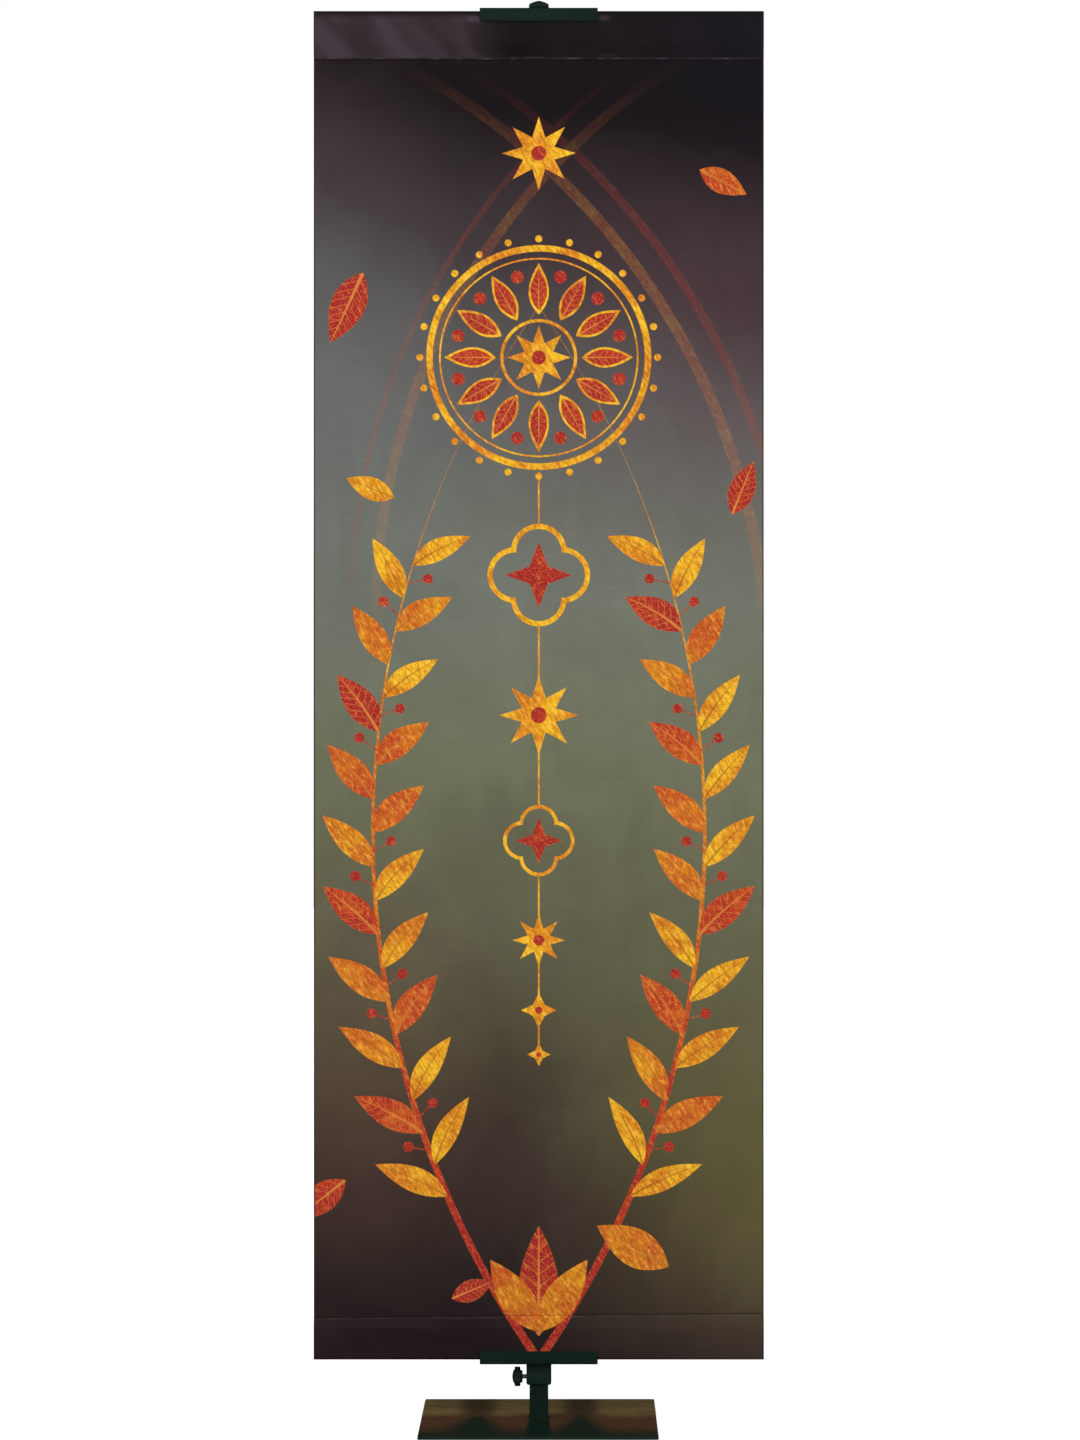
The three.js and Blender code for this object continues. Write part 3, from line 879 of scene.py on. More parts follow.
# Loose leaves: where each one's stalk is, which way it points, its size and how red it is
looseLeaves = [
    {"x": -0.238, "z": 1.560, "turn": 205, "length": 0.105, "width": 0.046, "red": 0.95},
    {"x": 0.218, "z": 1.700, "turn": 118, "length": 0.072, "width": 0.032, "red": 0.55},
    {"x": -0.196, "z": 1.255, "turn": 292, "length": 0.070, "width": 0.030, "red": 0.15},
    {"x": 0.262, "z": 1.232, "turn": 22, "length": 0.078, "width": 0.034, "red": 0.95},
    {"x": -0.262, "z": 0.330, "turn": 232, "length": 0.086, "width": 0.038, "red": 0.85},
    {"x": 0.176, "z": 0.212, "turn": 300, "length": 0.112, "width": 0.050, "red": 0.30},
    {"x": -0.118, "z": 0.170, "turn": 68, "length": 0.060, "width": 0.028, "red": 1.00},
    {"x": 0.000, "z": 0.118, "turn": 0, "length": 0.150, "width": 0.052, "red": 0.90},
    {"x": 0.000, "z": 0.124, "turn": 34, "length": 0.118, "width": 0.044, "red": 0.20},
    {"x": 0.000, "z": 0.124, "turn": -34, "length": 0.118, "width": 0.044, "red": 0.35},
]


def drawLooseLeaves(tree, given):
    across, up = split(tree, given["Place"], "XZ")
    leaves, veins, redness = 0.0, 0.0, 0.0
    for loose in looseLeaves:
        turn = tree.nodes.new("ShaderNodeMapping")
        turn.vector_type = "TEXTURE"
        turn.inputs["Location"].default_value = (loose["x"], loose["z"], 0)
        turn.inputs["Rotation"].default_value = (0, 0, -math.radians(loose["turn"]))
        plug(tree, turn.inputs["Vector"], combine(tree, across, up))
        leaf = useGroup(
            tree, given["leafGroup"], place=turn.outputs["Vector"],
            length=loose["length"], width=loose["width"], veins=9.0,
        )
        leaves = joined(tree, leaves, leaf["Leaf"])
        veins = mixValue(tree, leaf["Leaf"], veins, leaf["Vein"])
        redness = mixValue(tree, leaf["Leaf"], redness, loose["red"])
    return {"Leaf": leaves, "Vein": veins, "Redness": redness}


# Streaks that lean: each pair says how fast one of their two directions changes upwards and across
def leaned(tree, across, up, pairs):
    first, second = (
        calc(tree, "MULTIPLY_ADD", up, upwards, times(tree, across, sideways)) for upwards, sideways in pairs
    )
    return combine(tree, first, 0.0, second)


# Metallic-looking ink: gold at 0, orange, then crimson at 1, mottled and speckled
foilStops = [
    (0.00, linear(246, 186, 36)),
    (0.20, linear(224, 140, 26)),
    (0.50, linear(206, 92, 30)),
    (0.78, linear(188, 46, 34)),
    (1.00, linear(170, 22, 38)),
]
foilInk = {
    "cloudScale": 16.0,
    "brushed": ((130.0, 190.0), (70.0, -48.0)),
    "grainScale": 480.0,
    "redder": (-0.10, 0.24),
    "dark": linear(128, 54, 14),
    "darkShare": 0.48,
    "bright": linear(255, 214, 84),
    "brightGold": 0.62,
    "brightRed": 0.22,
    "speck": linear(255, 200, 96),
    "speckShare": 0.40,
}


def drawFoil(tree, given):
    place, redness = given["Place"], given["Redness"]
    across, up = split(tree, place, "XZ")
    broad = noiseValue(tree, place, foilInk["cloudScale"], 3.0, 0.6)
    brushed = noiseValue(tree, leaned(tree, across, up, foilInk["brushed"]), 1.0, 6.0, 0.68, 0.4)
    grain = noiseValue(tree, place, foilInk["grainScale"], 2.0, 0.6)
    hue = colourRamp(tree, plus(tree, redness, remap(tree, broad, 0.36, 0.64, *foilInk["redder"])), foilStops)
    dark = mixColour(tree, remap(tree, brushed, 0.36, 0.56, foilInk["darkShare"], 0.0), hue, foilInk["dark"])
    most = remap(tree, redness, 0.1, 0.9, foilInk["brightGold"], foilInk["brightRed"])
    gleam = times(tree, remap(tree, brushed, 0.50, 0.70), most)
    bright = mixColour(tree, gleam, dark, foilInk["bright"])
    speck = remap(tree, grain, 0.55, 0.72, 0.0, foilInk["speckShare"])
    return {"Color": mixColour(tree, speck, bright, foilInk["speck"])}


# The ink between the motifs, dark plum at both ends and grey green in the middle
groundStops = [
    (0.10, linear(34, 22, 25)),
    (0.37, linear(62, 49, 42)),
    (0.57, linear(84, 80, 59)),
    (0.90, linear(109, 112, 88)),
    (1.14, linear(112, 115, 103)),
    (1.35, linear(99, 97, 93)),
    (1.57, linear(63, 51, 54)),
    (1.80, linear(21, 13, 18)),
]
ground = {
    "leftRise": 0.45,
    "rightRise": 0.22,
    "rightDrop": 0.72,
    "middle": -0.05,
    "cloudScale": 3.2,
    "cloudShift": 0.035,
    "wispScale": (9, 9, 5),
    "threadScale": (14, 14, 850),
    "span": 1.96,
}

# Tints of the ink: where each comes in across the cloth, where up it rises and fades, how strong it is
tints = [
    {
        "colour": linear(106, 98, 50), "strength": 0.45,
        "across": (-0.02, 0.32), "rise": (0.06, 0.30), "fade": (0.75, 0.40),
    },
    {
        "colour": linear(94, 60, 52), "strength": 0.24,
        "across": (0.02, -0.26), "rise": (0.18, 0.36), "fade": (0.86, 0.55),
    },
    {
        "colour": linear(96, 106, 112), "strength": 0.26,
        "across": (0.06, -0.26), "rise": (0.90, 1.20), "fade": (1.80, 1.40),
    },
    {
        "colour": linear(92, 64, 74), "strength": 0.24,
        "across": (-0.04, 0.24), "rise": (1.14, 1.40), "fade": (1.80, 1.55),
    },
    {
        "colour": linear(17, 18, 27), "strength": 0.5,
        "across": (0.0, 0.28), "rise": (1.54, 1.90), "fade": (2.20, 2.10),
    },
]


# Painted sheen and painted shade on the pockets: painted highlights in slanting bands towards the left and
# beside the clamp, and at each seam a broken painted highlight along the pocket's edge with a painted crease
# shadow next to it
satin = {
    "light": linear(94, 79, 89),
    "paintedShade": linear(10, 7, 9),
    "foot": 1.8486,
    "comesUp": (-0.0005, 0.004),
    "goesDown": (0.066, 0.054),
    "bands": ((15.0, 19.0), (5.0, -4.0)),
    "bandRange": (0.40, 1.0),
    "comesIn": (-0.035, -0.118),
    "strength": (0.03, 0.42),
    "darkMiddle": -0.016,
    "darkReach": (0.010, 0.038),
    "darkStrength": 0.45,
    "lineBreaks": (34, 0, 0),
    "lineWeakest": 0.16,
    "lineFrom": (0.0005, 0.0011),
    "lineTo": (0.0031, 0.0018),
    "shadowFrom": (-0.0016, -0.0008),
    "shadowTo": (0.0010, 0.0004),
}
# Painted highlights beside the clamp: where each is, how wide and tall, and how strong
paintedGleams = [
    {"x": -0.089, "z": 1.9035, "wide": 0.022, "tall": 0.0080, "strength": 0.48},
    {"x": 0.087, "z": 1.9050, "wide": 0.016, "tall": 0.0060, "strength": 0.30},
    {"x": -0.112, "z": 1.8700, "wide": 0.018, "tall": 0.0300, "strength": 0.20},
    {"x": 0.094, "z": 1.8540, "wide": 0.018, "tall": 0.0060, "strength": 0.09},
]
# At each seam a painted highlight line and a painted shadow: its height, the pocket's side, and how strong
paintedSeamLines = [
    {"height": 1.8486, "pocketSide": 1.0, "strength": 0.66},
    {"height": 0.1459, "pocketSide": -1.0, "strength": 0.34},
]


def drawPaintedSheen(tree, given):
    across, up = split(tree, given["Place"], "XZ")
    waves = noiseValue(tree, leaned(tree, across, up, satin["bands"]), 1.0, 1.4, 0.5, 0.3)
    bands = remap(tree, waves, 0.30, 0.70, *satin["bandRange"])
    above = minus(tree, up, satin["foot"])
    pocket = times(tree, remap(tree, above, *satin["comesUp"]), remap(tree, above, *satin["goesDown"]))
    # Painted highlight: slanting bands over the pocket, stronger towards the left
    gleam = times(tree, pocket, bands, remap(tree, across, *satin["comesIn"], *satin["strength"]))
    for spot in paintedGleams:
        fromX = calc(tree, "DIVIDE", minus(tree, across, spot["x"]), spot["wide"])
        fromZ = calc(tree, "DIVIDE", minus(tree, up, spot["z"]), spot["tall"])
        away = lengthOf(tree, combine(tree, fromX, fromZ))
        gleam = joined(tree, gleam, remap(tree, away, 0.2, 1.0, spot["strength"], 0.0))
    # Painted shade: the pocket is darkened in the middle, just under the clamp
    offMiddle = absolute(tree, minus(tree, across, satin["darkMiddle"]))
    paintedShade = times(tree, pocket, remap(tree, offMiddle, *satin["darkReach"], satin["darkStrength"], 0.0))
    broken = noiseValue(tree, stretched(tree, given["Place"], satin["lineBreaks"]), 1.0, 4.0, 0.6)
    shown = remap(tree, broken, 0.42, 0.66, satin["lineWeakest"], 1.0)
    # At each seam a broken painted highlight line, with a painted shadow next to it
    for edge in paintedSeamLines:
        reach = times(tree, minus(tree, up, edge["height"]), edge["pocketSide"])
        line = times(tree, remap(tree, reach, *satin["lineFrom"]), remap(tree, reach, *satin["lineTo"]))
        gleam = joined(tree, gleam, times(tree, line, shown, edge["strength"]))
        shadow = times(
            tree, remap(tree, reach, *satin["shadowFrom"], 0.0, edge["strength"]),
            remap(tree, reach, *satin["shadowTo"]),
        )
        paintedShade = joined(tree, paintedShade, shadow)
    return {"PaintedGleam": gleam, "PaintedShadow": paintedShade}


def drawGround(tree, given):
    place = given["Place"]
    across, up = split(tree, place, "XZ")
    clouds = noiseValue(tree, place, ground["cloudScale"], 5.0, 0.55, 0.8)
    wisps = noiseValue(tree, stretched(tree, place, ground["wispScale"]), 1.0, 6.0, 0.6, 1.6)
    threads = noiseValue(tree, stretched(tree, place, ground["threadScale"]), 1.0, 2.0, 0.6)
    offMiddle = minus(tree, across, ground["middle"])
    leftward = calc(tree, "MINIMUM", offMiddle, 0.0)
    rightward = calc(tree, "MAXIMUM", offMiddle, 0.0)
    upper = remap(tree, up, 0.9, 1.6)
    lower = remap(tree, up, 0.3, 0.9, 1.0, 0.0)
    height = calc(tree, "MULTIPLY_ADD", times(tree, leftward, upper), ground["leftRise"], up)
    slope = calc(tree, "MULTIPLY_ADD", upper, ground["rightRise"], times(tree, lower, ground["rightDrop"]))
    height = calc(tree, "MULTIPLY_ADD", rightward, slope, height)
    height = plus(tree, height, remap(tree, clouds, 0.3, 0.7, -ground["cloudShift"], ground["cloudShift"]))
    ramp = [(position / ground["span"], colour) for position, colour in groundStops]
    colour = colourRamp(tree, calc(tree, "DIVIDE", height, ground["span"]), ramp)
    for tint in tints:
        share = times(
            tree, remap(tree, up, *tint["rise"]), remap(tree, up, *tint["fade"]),
            remap(tree, across, *tint["across"]), tint["strength"],
        )
        colour = mixColour(tree, share, colour, tint["colour"])
    # The pockets' painted sheen and painted shade are mixed into the ink's colour
    sheen = useGroup(tree, given["satinGroup"], place=place)
    colour = mixColour(tree, sheen["PaintedGleam"], colour, satin["light"])
    colour = mixColour(tree, sheen["PaintedShadow"], colour, satin["paintedShade"])
    light = times(
        tree, remap(tree, wisps, 0.25, 0.75, 0.93, 1.07), remap(tree, clouds, 0.3, 0.7, 0.96, 1.04),
        remap(tree, threads, 0.3, 0.7, 0.955, 1.045),
    )
    return {"Color": mixColour(tree, 1.0, colour, combine(tree, light, light, light), "MULTIPLY")}


# Faint arcs behind the rose: the middle of each circle, its radius and how strong it shows
ghostArcs = [
    {"x": -0.62, "z": 1.02, "radius": 0.93, "half": 0.0075, "strength": 0.17, "red": 0.25},
    {"x": -0.62, "z": 1.02, "radius": 0.97, "half": 0.0060, "strength": 0.16, "red": 0.90},
    {"x": 0.66, "z": 1.10, "radius": 0.88, "half": 0.0070, "strength": 0.13, "red": 0.30},
    {"x": 0.66, "z": 1.10, "radius": 0.915, "half": 0.0040, "strength": 0.12, "red": 0.80},
]


def drawGhosts(tree, given):
    up = split(tree, given["Place"], "Z")[0]
    shown, redness = 0.0, ghostArcs[0]["red"]
    for arc in ghostArcs:
        away = vectorCalc(tree, "DISTANCE", given["Place"], (arc["x"], 0, arc["z"]))
        off = absolute(tree, minus(tree, away, arc["radius"]))
        mask = times(tree, inside(tree, minus(tree, off, arc["half"])), arc["strength"])
        shown = joined(tree, shown, mask)
        redness = mixValue(tree, calc(tree, "GREATER_THAN", mask, 0.01), redness, arc["red"])
    fade = times(tree, remap(tree, up, 0.95, 1.3), remap(tree, up, 1.86, 1.6))
    return {"Mask": times(tree, shown, fade), "Redness": redness}


# How red each motif is, where gold is 0, and the ink of its veins
motifInk = {
    "stemFoot": 0.95,
    "stemTip": 0.10,
    "berry": 0.95,
    "gold": 0.04,
    "red": 0.92,
    "goldVein": linear(150, 76, 20),
    "redVein": linear(238, 158, 70),
    "veinShare": 0.6,
}


def drawPrint(tree, given):
    place = given["Place"]
    ghosts = useGroup(tree, given["ghostsGroup"], place=place)
    branches = useGroup(tree, given["laurelGroup"], place=place)
    loose = useGroup(tree, given["looseGroup"], place=place)
    hanging = useGroup(tree, given["pendantsGroup"], place=place)
    rosePlace = vectorCalc(tree, "SUBTRACT", place, (0, 0, rosette["height"]))
    roseX, roseZ = split(tree, rosePlace, "XZ")
    rose = useGroup(tree, given["rosetteGroup"], place=combine(tree, roseX, roseZ))

    # Shape by shape: what is inked (shown), how red it is, and its veins
    shown = joined(tree, ghosts["Mask"], branches["Stem"])
    stemRed = remap(tree, branches["Progress"], 0.0, 0.9, motifInk["stemFoot"], motifInk["stemTip"])
    redness = mixValue(tree, branches["Stem"], ghosts["Redness"], stemRed)
    leafRed = calc(tree, "POWER", branches["Chance"], 1.7)
    shown = joined(tree, shown, joined(tree, branches["Leaf"], branches["Berry"]))
    redness = mixValue(tree, branches["Leaf"], redness, leafRed)
    redness = mixValue(tree, branches["Berry"], redness, motifInk["berry"])
    vein = branches["Vein"]
    shown = joined(tree, shown, loose["Leaf"])
    redness = mixValue(tree, loose["Leaf"], redness, loose["Redness"])
    vein = mixValue(tree, loose["Leaf"], vein, loose["Vein"])
    gold = joined(tree, hanging["Gold"], rose["Gold"])
    red = joined(tree, hanging["Red"], rose["Red"])
    shown = joined(tree, shown, joined(tree, gold, red))
    redness = mixValue(tree, gold, redness, motifInk["gold"])
    redness = mixValue(tree, red, redness, motifInk["red"])
    vein = joined(tree, vein, rose["Vein"])

    foil = useGroup(tree, given["foilGroup"], place=place, redness=redness)["Color"]
    veinColour = mixColour(tree, redness, motifInk["goldVein"], motifInk["redVein"])
    foil = mixColour(tree, times(tree, vein, motifInk["veinShare"]), foil, veinColour)
    groundColour = useGroup(tree, given["groundGroup"], place=place)["Color"]
    return {"Color": mixColour(tree, shown, groundColour, foil), "Foil": shown}


def floats(*labels):
    return [(label, "Float") for label in labels]


def makePrintGroups():
    place = ("Place", "Vector", None)
    groups = {}

    # Each drawing is handed the shapes that were made before it
    def add(label, name, outputs, draw, *sizes):
        def drawn(tree, given):
            return draw(tree, {**given, **{made + "Group": group for made, group in groups.items()}})
        groups[label] = makeGroup(name, [place, *sizes], outputs, drawn)

    leafSizes = (("Length", "Float", 0.1), ("Width", "Float", 0.035), ("Veins", "Float", 8.0))
    starSizes = (("Tips", "Float", 8.0), ("Outer", "Float", 0.05), ("Inner", "Float", 0.025))
    colour = ("Color", "Color")
    add("leaf", "leafShape", floats("Leaf", "Vein"), drawLeaf, *leafSizes)
    add("star", "starShape", floats("Distance"), drawStar, *starSizes)
    add("quatrefoil", "quatrefoilShape", floats("Distance"), drawQuatrefoil, ("Radius", "Float", 0.06))
    branchMasks = floats("Stem", "Leaf", "Vein", "Berry", "Chance", "Progress")
    add("laurel", "laurelBranches", branchMasks, drawLaurel)
    add("rosette", "roseRound", floats("Gold", "Red", "Vein"), drawRosette)
    add("pendants", "pendantLine", floats("Gold", "Red"), drawPendants)
    add("loose", "looseLeaves", floats("Leaf", "Vein", "Redness"), drawLooseLeaves)
    add("ghosts", "ghostArcs", floats("Mask", "Redness"), drawGhosts)
    add("foil", "foilInk", [colour], drawFoil, ("Redness", "Float", 0.0))
    add("satin", "paintedPocketSheen", floats("PaintedGleam", "PaintedShadow"), drawPaintedSheen)
    add("ground", "groundInk", [colour], drawGround)
    add("print", "bannerPrint", [colour, *floats("Foil")], drawPrint)
    return groups


# Surface groups that several materials share
def drawWeave(tree, given):
    across, up = split(tree, given["Place"], "XZ")
    turn = calc(tree, "DIVIDE", 2 * math.pi, given["Pitch"])
    warp = calc(tree, "SINE", times(tree, across, turn))
    weft = calc(tree, "SINE", times(tree, up, turn))
    over = times(tree, warp, weft)
    slub = noiseValue(tree, stretched(tree, given["Place"], (90, 90, 1400)), 1.0, 2.0, 0.5)
    height = calc(tree, "MULTIPLY_ADD", over, 0.5, slub)
    return {"Height": height, "Gap": remap(tree, absolute(tree, over), 0.0, 0.35, 1.0, 0.0)}


# Tiny dimples of sprayed or moulded paint, and slow changes of tone
def drawPeel(tree, given):
    fine = noiseValue(tree, given["Place"], given["Scale"], 2.0, 0.5)
    slow = noiseValue(tree, given["Place"], 14.0, 4.0, 0.6)
    return {"Height": fine, "Tone": remap(tree, slow, 0.3, 0.7)}


# Dust that settles on what faces up
def drawDust(tree, given):
    facing = tree.nodes.new("ShaderNodeNewGeometry").outputs["Normal"]
    up = split(tree, facing, "Z")[0]
    patches = noiseValue(tree, given["Place"], given["Scale"], 6.0, 0.68)
    settled = remap(tree, patches, 0.42, 0.72)
    return {"Mask": times(tree, settled, remap(tree, up, 0.25, 0.9, 0.12, 1.0))}


def makeSurfaceGroups(groups):
    place = ("Place", "Vector", None)
    pitch = ("Pitch", "Float", 0.0009)
    scale = ("Scale", "Float", 60.0)
    groups["weave"] = makeGroup("wovenThreads", [place, pitch], floats("Height", "Gap"), drawWeave)
    groups["peel"] = makeGroup("orangePeel", [place, scale], floats("Height", "Tone"), drawPeel)
    groups["dust"] = makeGroup("settledDust", [place, scale], floats("Mask"), drawDust)


def addBump(tree, shader, height, distance, strength=1.0, under=None):
    bump = tree.nodes.new("ShaderNodeBump")
    bump.inputs["Strength"].default_value = strength
    bump.inputs["Distance"].default_value = distance
    plug(tree, bump.inputs["Height"], height)
    if under is not None:
        tree.links.new(under, bump.inputs["Normal"])
    tree.links.new(bump.outputs["Normal"], shader.inputs["Normal"])
    return bump.outputs["Normal"]


# Materials of the cloth
def attributeVector(tree, name):
    node = tree.nodes.new("ShaderNodeAttribute")
    node.attribute_name = name
    return node.outputs["Vector"]


fabric = {
    "threadPitch": 0.0009,
    "plyPitch": 0.0006,
    "weaveBump": 0.00006,
    "creaseBump": 0.0016,
    "edgeLine": 0.3030,
    "edgeColour": linear(40, 27, 40),
    "showThrough": 0.55,
    "paleBack": linear(150, 146, 140),
    "threadGap": linear(20, 16, 18),
    "inkRoughness": 0.50,
    "foilRoughness": 0.40,
    "backRoughness": 0.58,
    "specular": 0.09,
    "sheen": 0.02,
}
threads = {
    "darkThread": {"dark": linear(13, 10, 14), "light": linear(27, 22, 28)},
    "paleThread": {"dark": linear(56, 46, 53), "light": linear(88, 75, 83)},
}


def fabricSurface(tree, shader, groups, colour, place, roughness):
    weave = useGroup(tree, groups["weave"], place=place, pitch=fabric["threadPitch"])
    # Painted shade: the colour is darker in the gaps between the woven threads
    shaded = mixColour(tree, times(tree, weave["Gap"], 0.16), colour, fabric["threadGap"])
    plug(tree, shader.inputs["Base Color"], shaded)
    creases = noiseValue(tree, stretched(tree, place, (11, 11, 6)), 1.0, 5.0, 0.52, 0.7)
    plug(tree, shader.inputs["Roughness"], calc(tree, "MULTIPLY_ADD", creases, 0.14, roughness))
    soft = addBump(tree, shader, creases, fabric["creaseBump"], 0.5)
    addBump(tree, shader, weave["Height"], fabric["weaveBump"], 0.6, soft)
    shader.inputs["Specular IOR Level"].default_value = fabric["specular"]
    shader.inputs["Sheen Weight"].default_value = fabric["sheen"]
    shader.inputs["Sheen Roughness"].default_value = 0.45


def printedMaterial(groups):
    material, tree, shader = newMaterial("printedCloth")
    place = attributeVector(tree, "printPlace")
    inked = useGroup(tree, groups["print"], place=place)
    across = split(tree, place, "X")[0]
    edge = remap(tree, absolute(tree, across), fabric["edgeLine"], fabric["edgeLine"] + 0.0008)
    colour = mixColour(tree, edge, inked["Color"], fabric["edgeColour"])
    roughness = mixValue(tree, inked["Foil"], fabric["inkRoughness"], fabric["foilRoughness"])
    fabricSurface(tree, shader, groups, colour, place, roughness)
    return material


def reverseMaterial(groups):
    material, tree, shader = newMaterial("clothReverse")
    place = attributeVector(tree, "printPlace")
    inked = useGroup(tree, groups["print"], place=place)
    colour = mixColour(tree, fabric["showThrough"], inked["Color"], fabric["paleBack"])
    fabricSurface(tree, shader, groups, colour, place, fabric["backRoughness"])
    return material


def cutEdgeMaterial():
    material, tree, shader = newMaterial("cutEdge")
    place = attributeVector(tree, "printPlace")
    fray = noiseValue(tree, place, 900.0, 3.0, 0.6)
    colour = mixColour(tree, remap(tree, fray, 0.35, 0.65), linear(34, 24, 34), linear(70, 56, 66))
    plug(tree, shader.inputs["Base Color"], colour)
    plug(tree, shader.inputs["Roughness"], remap(tree, fray, 0.3, 0.7, 0.6, 0.85))
    addBump(tree, shader, fray, 0.0002)
    return material


def threadMaterial(name):
    material, tree, shader = newMaterial(name)
    place = objectPlace(tree)
    across, up = split(tree, place, "XZ")
    twist = calc(tree, "SINE", times(tree, plus(tree, across, up), 2 * math.pi / fabric["plyPitch"]))
    tone = noiseValue(tree, place, 70.0, 2.0, 0.5)
    colour = mixColour(tree, remap(tree, tone, 0.35, 0.65), threads[name]["dark"], threads[name]["light"])
    plug(tree, shader.inputs["Base Color"], colour)
    plug(tree, shader.inputs["Roughness"], remap(tree, tone, 0.3, 0.7, 0.42, 0.6))
    addBump(tree, shader, twist, 0.00008)
    shader.inputs["Specular IOR Level"].default_value = 0.2
    shader.inputs["Sheen Weight"].default_value = 0.05
    return material


# Materials of the stand
coatings = {
    "powderCoat": {
        "dark": linear(15, 34, 25), "light": linear(19, 37, 28), "specular": 0.07,
        "dust": linear(120, 116, 104), "dustShare": 0.04, "dustScale": 85.0,
        "peelScale": 1100.0, "peelDepth": 0.00012, "peelStrength": 0.6,
        "roughness": 0.44, "roughnessSpread": 0.10,
    },
    "mouldedPlastic": {
        "dark": linear(20, 39, 31), "light": linear(24, 42, 34), "specular": 0.12,
        "dust": linear(110, 108, 98), "dustShare": 0.03, "dustScale": 140.0,
        "peelScale": 2300.0, "peelDepth": 0.00008, "peelStrength": 0.7,
        "roughness": 0.46, "roughnessSpread": 0.08,
    },
}


def coatedMaterial(name, groups):
    coating = coatings[name]
    material, tree, shader = newMaterial(name)
    place = objectPlace(tree)
    peel = useGroup(tree, groups["peel"], place=place, scale=coating["peelScale"])
    dust = useGroup(tree, groups["dust"], place=place, scale=coating["dustScale"])["Mask"]
    colour = mixColour(tree, peel["Tone"], coating["dark"], coating["light"])
    colour = mixColour(tree, times(tree, dust, coating["dustShare"]), colour, coating["dust"])
    plug(tree, shader.inputs["Base Color"], colour)
    rough = calc(tree, "MULTIPLY_ADD", peel["Tone"], coating["roughnessSpread"], coating["roughness"])
    plug(tree, shader.inputs["Roughness"], rough)
    addBump(tree, shader, peel["Height"], coating["peelDepth"], coating["peelStrength"])
    shader.inputs["Specular IOR Level"].default_value = coating["specular"]
    return material


# Black-green enamel with a painted reflection on its top face: wavy-edged olive towards the back and
# red-brown before that, fading to the enamel's black-green at the front. Two darker painted hills rise from
# the front, and a dark band, the pole's painted reflection, runs from the pole's foot.
enamelAndReflection = {
    "reflectedOlive": linear(136, 116, 70),
    "reflectedRedBrown": linear(88, 55, 38),
    "blackGreen": linear(20, 40, 30),
    "streak": linear(70, 58, 34),
    "streakScale": (12, 95, 9),
    "reflectedHills": [{"x": -0.084, "peak": 0.034}, {"x": 0.057, "peak": 0.030}],
    "hillTop": 0.006,
    "hillSpread": 0.10,
    "hillFlare": 1.1,
    "poleReflectionFoot": 0.0125,
    "poleReflectionFront": 0.0215,
    "cloudScale": 13.0,
    "cloudShift": 0.012,
    "frontShade": 0.88,
    "gapShade": 0.34,
    "specular": 0.15,
}


